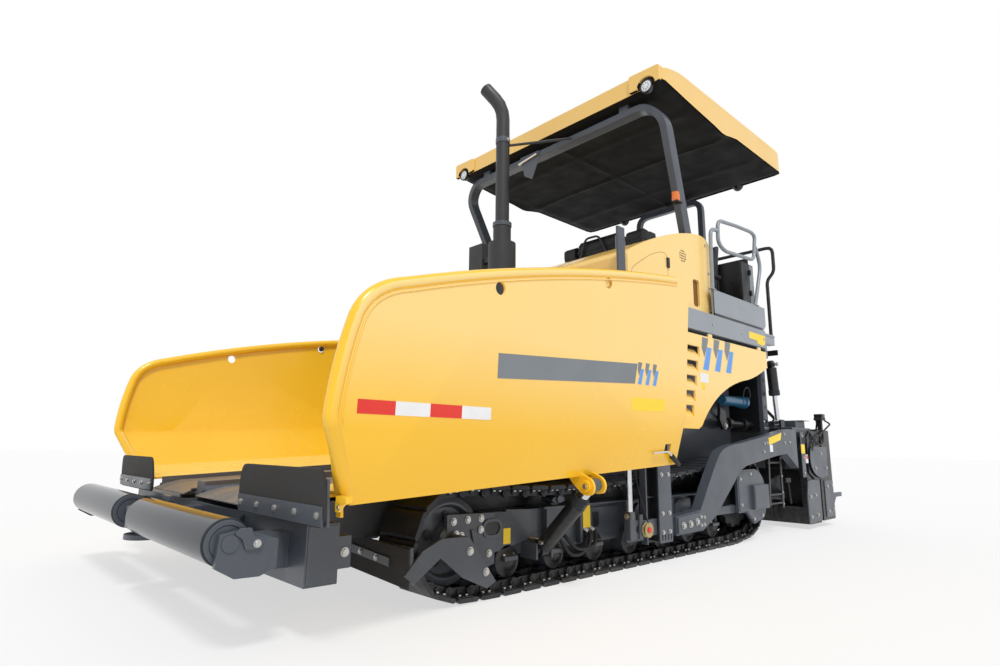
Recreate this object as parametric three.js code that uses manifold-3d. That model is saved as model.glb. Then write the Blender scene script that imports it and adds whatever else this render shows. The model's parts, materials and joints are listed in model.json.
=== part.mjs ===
// Tracked asphalt paver with a tipping hopper, a towed extending screed and a canopy.
// Millimetres; +X forward, +Y left, +Z up. The origin is on the ground under the machine's middle.
import * as THREE from "three";
import { mergeVertices } from "three/addons/utils/BufferGeometryUtils.js";
import Module from "manifold-3d";

const wasm = await Module();
wasm.setup();

// ---------------------------------------------------------------- driving dimensions
const TOUCH = 0.3; // gap between pieces that rest on each other
const BODY_HALF = 1235; // half width over the deck's side band
const PLATE = 12; // welded plate

const frame = { half: 820, bottom: 300, roofZ: 1130, topZ: 1634, front: 700, rear: -1600 };
const frontBeam = { x0: 2660, x1: 2800, z0: 206, z1: 437, half: 1250 };
const roller = { x: 3085, z: 397, radius: 85, inner: 140, outer: 1228, journal: 30 };
const crawler = {
  inner: 890, outer: 1190, thickness: 60, shoes: 54, shoeGap: 12, notch: 16,
  idler: { x: 1980, z: 285, r: 275 }, sprocket: { x: -1080, z: 360, r: 330 },
  groundFront: 1770, groundRear: -830,
};
const trackBeam = { inner: 930, outer: 1060, z0: 165, z1: 395, x0: -780, x1: 1700 };
const hopper = {
  hingeX: 2830, hingeZ: 512, hingeY: 750, slope: THREE.MathUtils.degToRad(2.95),
  floorFront: -50, floorRear: -2030, plate: 12, wallRear: -2367, hingeBar: 22,
};
const wingCylinder = {
  u: -1432, base: [1150, -396], eye: [1530, -36], barrel: 45, rod: 25, pin: 20, length: 430, inserted: 370,
};
const column = { x0: 234, x1: 500, z0: 135, z1: 860, inner: 1195, outer: 1275, plate: 12 };
const towPoint = { x: 600, z: 240, pin: 24 };
const arm = { inner: 1200, outer: 1275, neckInner: 1216, neckOuter: 1254 };
const screed = {
  half: 1235, front: -2030, frontLow: -2257, back: -2540, bottom: 45, top: 915,
  tubeX: -2410, tubeZ: 700, tubeR: 70,
};
const extension = { front: -2560, back: -2880, bottom: 60, top: 930, inner: 12, tube: 1150 };
const lift = {
  y: 1100, top: [-1945, 1540], eye: [-2005, 985], barrel: 47, rod: 24, pin: 18, length: 300, inserted: 40,
};
const mast = { x0: -1960, x1: -1860, y0: 950, y1: 1030, foot: 880, bracket: 1450 };
const auger = { x: -1800, z: 330, radius: 180, shaft: 38, inner: 62, outer: 1180, pitch: 320, turns: 3.25 };
const deck = { bandZ0: 1635, bandZ1: 1795, front: 470, bandRear: -1550, rear: -2130, floor: 1788 };
const hood = { half: 1128, front: 474, rear: -738, skin: 12 };
const panel = { inner: 1130.5, outer: 1150 };
const door = { inner: 1211, outer: 1231, top: 1606, bottom: 875, front: 466, hingeZ: 1627.4 };
const canopy = { front: 94, rear: -2210, half: 1250, lip: 3560, edge: 3680, crown: 3790, shell: 34 };
const arch = { x: -20, z: 3470, half: 1190, depth: 100, height: 60 };
const rearArch = { x: -2080, half: 400, z: 3470, size: 60 };

// ---------------------------------------------------------------- materials
const paint = (color, roughness, metalness) =>
  new THREE.MeshStandardMaterial({ color, roughness, metalness });
const yellow = paint(0xf7c02c, 0.35, 0.0);
const tan = paint(0xe2b664, 0.4, 0.0);
const steelGrey = paint(0x454b52, 0.5, 0.2);
const paleGrey = paint(0x868b90, 0.5, 0.1);
const black = paint(0x17181a, 0.6, 0.0);
const rubber = paint(0x1d1d1f, 0.85, 0.0);
const polished = paint(0x8c9094, 0.25, 0.9);
const chrome = paint(0xc9ccd0, 0.15, 1.0);

// ---------------------------------------------------------------- solid helpers
function toSolid(geometry) {
  const bare = geometry.index ? geometry.clone() : mergeVertices(stripped(geometry), 1e-3);
  const merged = mergeVertices(stripped(bare), 1e-3);
  return new wasm.Manifold(
    new wasm.Mesh({
      numProp: 3,
      vertProperties: merged.attributes.position.array,
      triVerts: new Uint32Array(merged.index.array),
    }),
  );
}

function stripped(geometry) {
  const copy = geometry.clone();
  for (const key of Object.keys(copy.attributes)) if (key !== "position") copy.deleteAttribute(key);
  return copy;
}

function toGeometry(solid) {
  const mesh = solid.getMesh();
  const geometry = new THREE.BufferGeometry();
  geometry.setAttribute("position", new THREE.BufferAttribute(mesh.vertProperties, 3));
  geometry.setIndex(new THREE.BufferAttribute(mesh.triVerts, 1));
  return geometry;
}

const join = (...geometries) => toGeometry(geometries.map(toSolid).reduce((a, b) => a.add(b)));
const cut = (body, ...tools) =>
  toGeometry(tools.map(toSolid).reduce((a, b) => a.subtract(b), toSolid(body)));
const common = (a, b) => toGeometry(toSolid(a).intersect(toSolid(b)));

function box(x0, x1, y0, y1, z0, z1) {
  const block = new THREE.BoxGeometry(x1 - x0, y1 - y0, z1 - z0);
  return block.translate((x0 + x1) / 2, (y0 + y1) / 2, (z0 + z1) / 2);
}

const outline = (points) => new THREE.Shape(points.map(([a, b]) => new THREE.Vector2(a, b)));

/** Outline in X and Z, extruded from y0 to y1. */
function prismY(points, y0, y1) {
  const shape = points instanceof THREE.Shape ? points : outline(points);
  const made = new THREE.ExtrudeGeometry(shape, { depth: y1 - y0, bevelEnabled: false, curveSegments: 8 });
  return made.rotateX(Math.PI / 2).translate(0, y1, 0);
}

/** Outline in Y and Z, extruded from x0 to x1. */
function prismX(points, x0, x1) {
  const shape = points instanceof THREE.Shape ? points : outline(points);
  const made = new THREE.ExtrudeGeometry(shape, { depth: x1 - x0, bevelEnabled: false, curveSegments: 8 });
  return made.rotateX(Math.PI / 2).rotateZ(Math.PI / 2).translate(x0, 0, 0);
}

/** Straight round bar between two points. */
function bar(from, to, radius, sides = 16) {
  const a = new THREE.Vector3(...from);
  const b = new THREE.Vector3(...to);
  const along = b.clone().sub(a).normalize();
  const turn = new THREE.Quaternion().setFromUnitVectors(new THREE.Vector3(0, 1, 0), along);
  return new THREE.CylinderGeometry(radius, radius, a.distanceTo(b), sides)
    .applyQuaternion(turn)
    .translate(...a.add(b).multiplyScalar(0.5).toArray());
}

const discY = (x, z, radius, y0, y1, sides = 16) => bar([x, y0, z], [x, y1, z], radius, sides);

/** A path through given points that an extrusion follows exactly. */
class Route extends THREE.Curve {
  constructor(points, sideAxis = null) {
    super();
    this.points = points;
    this.sideAxis = sideAxis;
  }
  computeFrenetFrames(segments, closed) {
    const frames = super.computeFrenetFrames(segments, closed);
    if (!this.sideAxis) return frames;
    frames.binormals = frames.tangents.map((t) =>
      this.sideAxis.clone().addScaledVector(t, -this.sideAxis.dot(t)).normalize());
    frames.normals = frames.tangents.map((t, i) => frames.binormals[i].clone().cross(t));
    return frames;
  }
  getSpacedPoints() {
    return this.points.map((p) => p.clone());
  }
  getPoint(t) {
    return this.points[Math.round(t * (this.points.length - 1))].clone();
  }
  getTangentAt(u, target = new THREE.Vector3()) {
    const i = Math.round(u * (this.points.length - 1));
    const before = this.points[Math.max(i - 1, 0)];
    const after = this.points[Math.min(i + 1, this.points.length - 1)];
    return target.copy(after).sub(before).normalize();
  }
}

/** Corner points turned into a route whose corners are rounded to the bend radius. */
function rounded(corners, bend, steps = 3, sideAxis = null) {
  const points = corners.map((c) => new THREE.Vector3(...c));
  const route = [points[0]];
  for (let i = 1; i < points.length - 1; i++) {
    const back = points[i - 1].clone().sub(points[i]);
    const ahead = points[i + 1].clone().sub(points[i]);
    const reach = Math.min(bend, back.length() * 0.45, ahead.length() * 0.45);
    const start = points[i].clone().add(back.setLength(reach));
    const end = points[i].clone().add(ahead.setLength(reach));
    const curve = new THREE.QuadraticBezierCurve3(start, points[i], end);
    route.push(...curve.getPoints(steps));
  }
  route.push(points[points.length - 1]);
  return new Route(route, sideAxis);
}

function sweep(section, route) {
  const options = { steps: route.points.length - 1, extrudePath: route, bevelEnabled: false };
  return new THREE.ExtrudeGeometry(section, options);
}

function roundSection(radius, sides = 8) {
  const ring = [];
  for (let i = 0; i < sides; i++) {
    const angle = (2 * Math.PI * i) / sides;
    ring.push([radius * Math.cos(angle), radius * Math.sin(angle)]);
  }
  return outline(ring);
}

const flatSection = (w, h) => outline([[-w / 2, -h / 2], [w / 2, -h / 2], [w / 2, h / 2], [-w / 2, h / 2]]);
const tube = (corners, radius, bend = 80, sides = 6) =>
  sweep(roundSection(radius, sides), rounded(corners, bend));

/** The same piece on the other side of the machine. */
function mirrored(geometry) {
  const copy = geometry.index ? geometry.clone() : mergeVertices(stripped(geometry), 1e-3);
  copy.scale(1, -1, 1);
  const order = copy.index.array;
  for (let i = 0; i < order.length; i += 3) [order[i + 1], order[i + 2]] = [order[i + 2], order[i + 1]];
  return copy;
}

const machine = new THREE.Group();
const hopperGroup = new THREE.Group();
hopperGroup.position.set(hopper.hingeX, 0, hopper.hingeZ);
hopperGroup.rotation.y = hopper.slope;
machine.add(hopperGroup);

function add(name, geometry, material, parent = machine) {
  const mesh = new THREE.Mesh(geometry, material);
  mesh.name = name;
  parent.add(mesh);
}

function addPair(name, geometry, material, parent = machine) {
  add(name + "_left", geometry, material, parent);
  add(name + "_right", mirrored(geometry), material, parent);
}

// ---------------------------------------------------------------- crawler tracks
/** The loop that a belt follows round two wheels and over the ground, as lines and arcs. */
function crawlerLoop() {
  const { idler, sprocket, groundFront, groundRear } = crawler;
  const at = (c, r, angle) => [c.x + r * Math.cos(angle), c.z + r * Math.sin(angle)];
  const away = (px, pz, c) => {
    const distance = Math.hypot(c.x - px, c.z - pz);
    return [Math.atan2(c.z - pz, c.x - px), Math.asin(c.r / distance)];
  };
  const [frontAngle, frontLean] = away(groundFront, 0, idler);
  const rise = frontAngle - frontLean;
  const span = Math.hypot(sprocket.x - idler.x, sprocket.z - idler.z);
  const topHeading =
    Math.atan2(sprocket.z - idler.z, sprocket.x - idler.x) + Math.asin((idler.r - sprocket.r) / span);
  const [rearAngle, rearLean] = away(groundRear, 0, sprocket);
  const fall = rearAngle + rearLean + Math.PI;
  const quarter = Math.PI / 2;
  const line = (a, b) => ({ length: Math.hypot(b[0] - a[0], b[1] - a[1]), a, b });
  const arc = (c, from, to) => ({ length: c.r * (to - from), c, from, to });
  const around = (angle, least) => (angle < least ? angle + 2 * Math.PI : angle);
  const idlerStart = rise - quarter;
  const idlerEnd = around(topHeading - quarter, idlerStart);
  const sprocketStart = topHeading - quarter;
  const sprocketEnd = around(fall - quarter, sprocketStart);
  return [
    line([groundRear, 0], [groundFront, 0]),
    line([groundFront, 0], at(idler, idler.r, idlerStart)),
    arc(idler, idlerStart, idlerEnd),
    line(at(idler, idler.r, topHeading - quarter), at(sprocket, sprocket.r, topHeading - quarter)),
    arc(sprocket, sprocketStart, sprocketEnd),
    line(at(sprocket, sprocket.r, sprocketEnd), [groundRear, 0]),
  ];
}

const loop = crawlerLoop();
const loopLength = loop.reduce((sum, piece) => sum + piece.length, 0);

/** Point at a distance along the loop, moved inwards by the given depth. */
function loopPoint(distance, depth) {
  let left = ((distance % loopLength) + loopLength) % loopLength;
  const piece = loop.find((p) => left <= p.length || ((left -= p.length), false)) ?? loop[0];
  const share = left / piece.length;
  if (piece.c) {
    const angle = piece.from + share * (piece.to - piece.from);
    const r = piece.c.r - depth;
    return [piece.c.x + r * Math.cos(angle), piece.c.z + r * Math.sin(angle)];
  }
  const along = [piece.b[0] - piece.a[0], piece.b[1] - piece.a[1]].map((v) => v / piece.length);
  return [
    piece.a[0] + along[0] * left - along[1] * depth,
    piece.a[1] + along[1] * left + along[0] * depth,
  ];
}

function crawlerTrack() {
  const pitch = loopLength / crawler.shoes;
  const outer = [];
  const inner = [];
  for (let i = 0; i < crawler.shoes; i++) {
    const start = i * pitch;
    outer.push(loopPoint(start + crawler.shoeGap / 2, 0));
    outer.push(loopPoint(start + pitch - crawler.shoeGap / 2, 0));
    outer.push(loopPoint(start + pitch - crawler.shoeGap / 2, crawler.notch));
    outer.push(loopPoint(start + pitch + crawler.shoeGap / 2, crawler.notch));
    inner.push(loopPoint(start, crawler.thickness));
  }
  const shape = outline(outer);
  shape.holes.push(new THREE.Path(inner.map(([a, b]) => new THREE.Vector2(a, b))));
  return prismY(shape, crawler.inner, crawler.outer);
}

/** Height of the belt's inner face on its top run. */
function topRunInside(x) {
  const { a, b } = loop[3];
  const share = (x - a[0]) / (b[0] - a[0]);
  return a[1] + share * (b[1] - a[1]) - crawler.thickness / Math.cos(Math.atan2(b[1] - a[1], a[0] - b[0]));
}

/** A point of the hopper's sloping frame in the machine's own frame. */
function fromHopper(u, y, w) {
  const [c, s] = [Math.cos(hopper.slope), Math.sin(hopper.slope)];
  return [hopper.hingeX + u * c + w * s, y, hopper.hingeZ - u * s + w * c];
}

/** Two cheeks on the track frame and the pin that the wing cylinder's foot turns on. */
function wingCylinderFoot() {
  const { u, base, pin } = wingCylinder;
  const [y, w] = base;
  const [x, , z] = fromHopper(u, y, w);
  const thick = 14;
  const apart = wingCylinder.barrel + 9;
  const cheek = (from) => box(from, from + thick, trackBeam.outer - 5, y + 28, z - 45, z + 40);
  const pinHalf = apart + thick - 4;
  return [
    cheek(x - apart - thick),
    cheek(x + apart),
    bar(fromHopper(u - pinHalf, y, w), fromHopper(u + pinHalf, y, w), pin, 16),
  ];
}

function trackFrame() {
  const { inner, outer, z0, z1, x0, x1 } = trackBeam;
  const rollerR = 85;
  const rollerZ = crawler.thickness + rollerR + TOUCH;
  const pieces = [box(x0, x1, inner, outer, z0, z1)];
  for (let i = 0; i < 7; i++) {
    pieces.push(discY(-640 + i * 370, rollerZ, rollerR, 1000, 1085, 14));
  }
  for (const x of [150, 1150]) {
    const r = 55;
    const z = topRunInside(x) - r - 1;
    pieces.push(discY(x, z, r, 990, 1080, 12));
    pieces.push(box(x - 30, x + 30, 1010, 1050, z1 - 10, z));
  }
  pieces.push(box(x1 - 60, crawler.idler.x + 90, inner, 985, 215, 350));
  pieces.push(box(crawler.sprocket.x - 140, x0 + 60, inner, 939.7, 210, 500));
  for (const x of [-560, 1300]) pieces.push(box(x, x + 180, frame.half + TOUCH, inner + 5, 200, 380));
  pieces.push(...wingCylinderFoot());
  return join(...pieces);
}

function idlerWheel() {
  const { x, z, r } = crawler.idler;
  const wheel = (r - crawler.thickness) * Math.cos(loopLength / crawler.shoes / (2 * r)) - 1;
  return join(
    discY(x, z, wheel, 990, 1090, 24),
    discY(x, z, 38, 985.3, 1199.7, 12),
    discY(x, z, 80, 986, 1120, 16),
  );
}

function sprocketWheel() {
  const { x, z, r } = crawler.sprocket;
  const teeth = 15;
  const beltInside = (r - crawler.thickness) * Math.cos(loopLength / crawler.shoes / (2 * r));
  const tip = beltInside - 3;
  const root = tip - 20;
  const ring = [];
  for (let i = 0; i < teeth; i++) {
    const step = (2 * Math.PI) / teeth;
    for (const [share, radius] of [[0, root], [0.3, root], [0.45, tip], [0.85, tip]]) {
      ring.push([x + radius * Math.cos((i + share) * step), z + radius * Math.sin((i + share) * step)]);
    }
  }
  return join(prismY(ring, 1015, 1065), discY(x, z, 150, 940, 1199.7, 24));
}

function driveCover() {
  const plate = new THREE.Shape();
  plate.moveTo(-830, 240);
  plate.lineTo(-830, 545);
  plate.lineTo(-870, 570);
  plate.lineTo(-1130, 575);
  plate.absarc(-1130, 350, 225, Math.PI / 2, Math.PI * 1.28, false);
  plate.lineTo(-1100, 140);
  plate.lineTo(-960, 240);
  const lug = box(-1330, -1055, 1220, 1258, 255, 448);
  const sill = box(-905, -120, 1125, crawler.outer - 5, 240, 300);
  return join(prismY(plate, 1200, 1226), lug, sill, box(-905, -835, 1150, 1205, 240, 300));
}

function frontGuard() {
  const plate = prismY(
    [[2316, 182], [2222, 277], [2115, 320], [1950, 315], [1773, 90],
      [1832, 64], [1987, 132], [2120, 235], [2265, 140]],
    1200, 1214,
  );
  const scraper = box(2266, 2284, 700, 1205, 145, 295);
  return join(plate, scraper, box(2284, 2292, 720, 1060, 200, 240));
}

addPair("track", crawlerTrack(), rubber);
addPair("track_frame", trackFrame(), steelGrey);
addPair("idler", idlerWheel(), steelGrey);
addPair("sprocket", sprocketWheel(), steelGrey);
addPair("drive_cover", driveCover(), steelGrey);
addPair("front_guard", frontGuard(), steelGrey);

// ---------------------------------------------------------------- chassis
function mainFrame() {
  const { half, bottom, roofZ, topZ, front, rear } = frame;
  const low = 480;
  const inside = half - 20;
  const reach = frontBeam.x0 - TOUCH;
  const side = join(
    box(rear, front + PLATE, inside, half, bottom, topZ),
    box(front, reach, inside, half, bottom, low),
    box(column.x0, column.x1 - 60, half - 5, column.inner - TOUCH, 740, 850),
    box(mast.x0, rear + 5, inside, half, mast.bracket, topZ),
    box(-1660, -1600, half - 5, 1195, 1560, topZ),
    box(420, 440, half - 5, 1195, 1560, topZ),
  );
  return join(
    side,
    mirrored(side),
    box(rear, reach, -inside - 5, inside + 5, bottom, bottom + PLATE),
    box(rear, front + PLATE, -inside - 5, inside + 5, roofZ, roofZ + PLATE),
    box(front, front + PLATE, -inside - 5, inside + 5, roofZ, 1600),
    box(480, front + 5, -inside - 5, inside + 5, 1588, 1600),
    box(rear - PLATE, rear + 2, -half, half, bottom, 690),
    box(rear - PLATE, rear + 2, -half, half, roofZ, topZ),
  );
}

function pushBeam() {
  const { x0, x1, z0, z1, half } = frontBeam;
  const bracket = prismY(
    [[3130, 318], [3061, 277], [2972, 275], [2910, 300], [2910, 400], [2982, 425], [3060, 440], [3120, 430]],
    roller.outer + 3, roller.outer + 27,
  );
  const gusset = box(2905, roller.x - roller.radius, 1080, roller.outer + 10, 290, 395);
  const sides = join(bracket, gusset, box(x1 - 5, 2915, 1010, 1100, 262, 400));
  const centre = prismY(
    [[2795, 270], [3060, 290], [3128, 330], [3128, 430], [3060, 450], [2900, 420], [2795, 420]],
    -40, 40,
  );
  const hook = new THREE.Shape();
  hook.moveTo(2900, -95);
  hook.lineTo(3040, -95);
  hook.absarc(3040, 0, 95, -Math.PI / 2, Math.PI / 2, false);
  hook.lineTo(2900, 95);
  const hookPlate = new THREE.ExtrudeGeometry(hook, { depth: 25, bevelEnabled: false, curveSegments: 10 });
  return join(
    box(x0, x1, -half, half, z0, z1),
    sides,
    mirrored(sides),
    centre,
    hookPlate.translate(0, 0, 275),
    box(x1 - 5, 2915, -1050, 1050, 270, 345),
    box(2605, 2661, 1190, 1250, 260, 385),
    box(2605, 2661, -1250, -1190, 260, 385),
  );
}

function pushRoller() {
  const { x, z, radius, inner, outer, journal } = roller;
  return join(
    discY(x, z, radius, inner, outer - 5, 24),
    discY(x, z, journal, 40 + TOUCH, outer + 3 - TOUCH, 16),
  );
}

/** Post behind the frame's side plate, with the pin that the screed's lift cylinder hangs on. */
function liftMast() {
  const { x0, x1, y0, y1, foot, bracket } = mast;
  return join(
    box(x0, x0 + 30, frame.half + TOUCH, y1, bracket, frame.topZ),
    box(x0, x1, y0, y1, foot, frame.topZ),
    discY(lift.top[0], lift.top[1], lift.pin, y1 - 10, lift.y + 40, 16),
  );
}

add("main_frame", mainFrame(), steelGrey);
addPair("lift_mast", liftMast(), steelGrey);
add("push_beam", pushBeam(), steelGrey);
addPair("push_roller", pushRoller(), polished);
add("engine", box(-600, 400, -380, 380, frame.roofZ + PLATE + TOUCH, 2000), black);

// ---------------------------------------------------------------- hopper, in its sloping frame
/** Side elevation of the wing: rounded front corner and a top edge that climbs to the rear. */
function wingElevation() {
  const side = new THREE.Shape();
  side.moveTo(-52, 0);
  side.lineTo(83, 316);
  side.quadraticCurveTo(60, 520, -5, 700);
  side.quadraticCurveTo(-60, 830, -240, 862);
  side.quadraticCurveTo(-1180, 1100, hopper.wallRear, 1165);
  side.lineTo(-2300, 316);
  side.lineTo(-2300, 0);
  return side;
}

const flapBack = 20;

function wing() {
  const t = hopper.plate;
  const hinge = hopper.hingeY;
  const sheet = [
    [hinge + 34, 8], [905, 26], [1440, 40], [1452, 10], [1500, 10], [1597, 310], [1648, 1200],
    [1648 - t, 1200], [1597 - t, 310], [1576, 262], [1454, 62], [905, 26 + t], [hinge + 34, 8 + t],
  ];
  const whole = common(prismX(sheet, hopper.wallRear - 50, 200), prismY(wingElevation(), 700, 1700));
  const rearOfFloor = box(hopper.wallRear - 60, hopper.floorRear, 700, 1453, -50, 300);
  const lipTop = [[1440, 40 + t], [905, 26 + t], [hinge + 34, 8 + t]];
  const frontLip = prismX([[hinge + 34, 8], [905, 26], [1440, 40], ...lipTop], -60, flapBack - TOUCH);
  const knuckles = join(
    bar([hopper.floorFront - 60, hinge, 0], [hopper.floorRear + 60, hinge, 0], hopper.hingeBar, 16),
    box(hopper.floorRear + 60, hopper.floorFront - 60, hinge, hinge + 60, 3, 14),
  );
  const gussetFace = [[905, 30], [1452, 55], [1580, 265], [1594, 400], [1560, 420]];
  const gusset = prismX(gussetFace, hopper.floorRear, hopper.floorRear + t);
  const u = wingCylinder.u;
  const [eyeY, eyeW] = wingCylinder.eye;
  const plates = [-1, 1].map((s) => prismX(
    [[1430, 42], [eyeY - 44, eyeW - 10], [eyeY - 20, eyeW - 42], [eyeY + 20, eyeW - 42],
      [eyeY + 44, eyeW], [1545, 160]],
    u + s * 46 - 8, u + s * 46 + 8,
  ));
  return join(cut(whole, rearOfFloor), frontLip, knuckles, gusset, ...plates);
}

function hopperFloor() {
  const half = hopper.hingeY - 30;
  const curb = hopper.hingeY - hopper.hingeBar - 0.4;
  const pieces = [box(-4370, hopper.floorFront + 20, -half, half, -40, -28)];
  for (const side of [-1, 1]) {
    const [a, b] = [side * curb, side * (curb - 14)];
    pieces.push(box(-4370, hopper.floorFront + 20, Math.min(a, b), Math.max(a, b), -40, 24));
  }
  pieces.push(box(-4370, hopper.floorFront + 20, -60, 60, -30, 30));
  const reach = frame.half - 20 - TOUCH;
  for (const u of [-300, -3000]) {
    pieces.push(box(u - 30, u + 30, -reach, reach, -80, -38));
  }
  return join(...pieces);
}

function frontFlap() {
  const face = new THREE.Shape();
  face.moveTo(700, -60);
  face.lineTo(1495, -60);
  face.lineTo(1495, 90);
  face.quadraticCurveTo(1495, 140, 1440, 145);
  face.lineTo(760, 145);
  face.quadraticCurveTo(705, 140, 700, 80);
  const strip = box(flapBack + 10, flapBack + 18, 720, 1480, -50, 20);
  return join(prismX(face, flapBack, flapBack + 11), strip);
}

addPair("hopper_wing", wing(), yellow, hopperGroup);
addPair("hopper_flap", frontFlap(), rubber, hopperGroup);
add("hopper_floor", hopperFloor(), steelGrey, hopperGroup);

/** A cylinder's barrel, open at the rod's end, along a line in a plane across the machine. */
function ram({ from, to, barrelR, rodR, barrelLength, inserted, eyeR, pinR, width, plane }) {
  const a = new THREE.Vector3(...plane(from));
  const b = new THREE.Vector3(...plane(to));
  const along = b.clone().sub(a).normalize();
  const point = (d) => a.clone().addScaledVector(along, d).toArray();
  const start0 = new THREE.Vector3(...plane([0, 0, 0]));
  const side = new THREE.Vector3(...plane([0, 0, 1])).sub(start0).setLength(width / 2);
  const eye = (centre, r) => bar(
    new THREE.Vector3(...centre).sub(side).toArray(),
    new THREE.Vector3(...centre).add(side).toArray(), r, 16);
  const hole = (centre, r) => bar(
    new THREE.Vector3(...centre).addScaledVector(side, -2).toArray(),
    new THREE.Vector3(...centre).addScaledVector(side, 2).toArray(), r, 16);
  const reach = a.distanceTo(b);
  const start = 30;
  const boreBottom = eyeR + 2;
  const barrel = cut(
    join(eye(point(0), eyeR), bar(point(start), point(barrelLength), barrelR, 16)),
    hole(point(0), pinR + 0.7),
    bar(point(boreBottom), point(barrelLength + 5), rodR + 0.7, 12),
  );
  const rod = cut(
    join(eye(point(reach), eyeR - 6), bar(point(barrelLength - inserted), point(reach), rodR, 12)),
    hole(point(reach), pinR + 1.5),
  );
  return { barrel, rod };
}

const wingRam = ram({
  from: wingCylinder.base, to: wingCylinder.eye, barrelR: wingCylinder.barrel, rodR: wingCylinder.rod,
  barrelLength: wingCylinder.length, inserted: wingCylinder.inserted,
  eyeR: 40, pinR: wingCylinder.pin, width: 56,
  plane: ([y, w, off = 0]) => [wingCylinder.u + off, y, w],
});
addPair("wing_cylinder", wingRam.barrel, steelGrey, hopperGroup);
addPair("wing_rod", wingRam.rod, chrome, hopperGroup);

// ---------------------------------------------------------------- towing gear
function towColumn() {
  const { x0, x1, z0, z1, inner, outer, plate } = column;
  return join(
    box(x0, 380, outer - plate, outer, z0, z1),
    box(x0, x1, inner, inner + plate, z0, z1),
    box(x0, 380, inner, outer, 520, 640),
    box(x0, 380, inner, outer, z1 - 40, z1),
    box(x1 - 60, 700, inner, inner + plate, 720, z1 - 10),
    box(645, 695, inner, 1240, 740, 830),
    bar([670, 1240, 330], [670, 1240, 650], 20, 12),
    bar([670, 1240, 620], [670, 1240, 980], 40, 14),
    box(640, 700, 1212, 1268, 295, 350),
    box(640, 690, 1201, 1210, 200, 350),
    box(640, 690, 1260, 1269, 200, 350),
  );
}

function towArm() {
  const { inner, outer, neckInner, neckOuter } = arm;
  const shape = new THREE.Shape();
  shape.moveTo(190, 166);
  shape.lineTo(190, 290);
  shape.lineTo(-145, 312);
  shape.quadraticCurveTo(-330, 560, -470, 700);
  shape.quadraticCurveTo(-560, 765, -811, 780);
  shape.lineTo(-1318, 849);
  shape.lineTo(-1787, 917);
  shape.lineTo(-1960, 917);
  shape.lineTo(-1960, 569);
  shape.lineTo(-1722, 698);
  shape.lineTo(-1499, 681);
  shape.lineTo(-940, 610);
  shape.quadraticCurveTo(-800, 590, -704, 500);
  shape.lineTo(-367, 260);
  shape.lineTo(-167, 172);
  const neck = cut(
    join(
      box(180, towPoint.x, neckInner, neckOuter, 190, 290),
      discY(towPoint.x, towPoint.z, 58, neckInner, neckOuter, 24),
    ),
    discY(towPoint.x, towPoint.z, towPoint.pin + 0.6, neckInner - 5, neckOuter + 5, 24),
  );
  return join(prismY(shape, inner, outer), neck);
}

addPair("tow_arm", towArm(), steelGrey);

// the column carries the pin that the tow arm turns on
addPair("tow_column", join(
  towColumn(),
  discY(towPoint.x, towPoint.z, towPoint.pin, column.inner + 8, 1290, 24),
  box(560, 645, 1276, 1288, 200, 330),
  box(640, 690, 1262, 1288, 200, 350),
  box(560, 645, 1197, 1208, 190, 340),
), steelGrey);

// ---------------------------------------------------------------- screed
function screedBody() {
  const { half, front, frontLow, back, bottom, top, tubeX, tubeZ, tubeR } = screed;
  const section = [[front, top], [frontLow, 480], [frontLow, bottom], [back, bottom], [back, top]];
  const bores = [[-half - 20, -40], [40, half + 20]].map(([y0, y1]) =>
    discY(tubeX, tubeZ, tubeR + 0.8, y0, y1, 24));
  const ladders = [-1, 1].map((s) => join(
    box(-2170, -2130, s > 0 ? 900 : -940, s > 0 ? 940 : -900, 80, 640),
    box(-2260, -2130, s > 0 ? 900 : -1050, s > 0 ? 1050 : -900, 560, 640),
  ));
  const lugs = [-1, 1].map((s) => {
    const y = s * lift.y;
    return join(
      box(-2060, -1975, y - 42, y - 30, 860, 1015),
      box(-2060, -1975, y + 30, y + 42, 860, 1015),
      box(-2060, -1975, y - 42, y + 42, 850, 905),
    );
  });
  const seat = arm.inner - TOUCH;
  const joints = [-1, 1].map((s) => box(-2100, -1850, s > 0 ? 1150 : -seat, s > 0 ? seat : -1150, 720, 880));
  const inside = box(back + 30, front - 190, -half + 60, half - 60, 200, top + 5);
  return join(cut(prismY(section, -half, half), inside, ...bores), ...ladders, ...lugs, ...joints);
}

function screedExtension() {
  const { front, back, bottom, top, inner, tube: length } = extension;
  const { half, tubeX, tubeZ, tubeR } = screed;
  const body = cut(
    box(back, front, inner, half, bottom, top),
    box(back + 25, front - 25, inner - 5, half - 40, bottom + 110, top - 25),
  );
  return join(
    body,
    prismY([[back, bottom], [back, top], [front, top], [front, bottom]], half - 5, half + 15),
    prismY(
      [[tubeX + 130, 520], [tubeX + 130, 850], [tubeX + 40, 915],
        [front - 20, 915], [front - 20, 454], [tubeX, 454]],
      half + TOUCH, half + 15,
    ),
    discY(tubeX, tubeZ, tubeR, half - length, half + 5, 24),
    box(back - 290, back + 5, 150, 1150, 285, 305),
    box(back - 20, back + 5, 200, 1180, 157, 440),
    box(-2860, -2820, 1170, 1210, top - 5, 1060),
    box(-2885, -2800, 1150, 1230, 1050, 1100),
  );
}

function screedDeck() {
  return join(
    box(-2535, -2080, -1200, 1200, screed.top + TOUCH, 945),
    box(-2535, -2300, -1150, 1150, 940, 1015),
  );
}

add("screed_body", screedBody(), steelGrey);
add("screed_deck", screedDeck(), black);
addPair("screed_extension", screedExtension(), steelGrey);

const liftRam = ram({
  from: lift.top, to: lift.eye, barrelR: lift.barrel, rodR: lift.rod,
  barrelLength: lift.length, inserted: lift.inserted, eyeR: 40, pinR: lift.pin, width: 46,
  plane: ([x, z, off = 0]) => [x, lift.y + off, z],
});
addPair("lift_cylinder", liftRam.barrel, black);
addPair("lift_rod", liftRam.rod, chrome);

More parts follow.
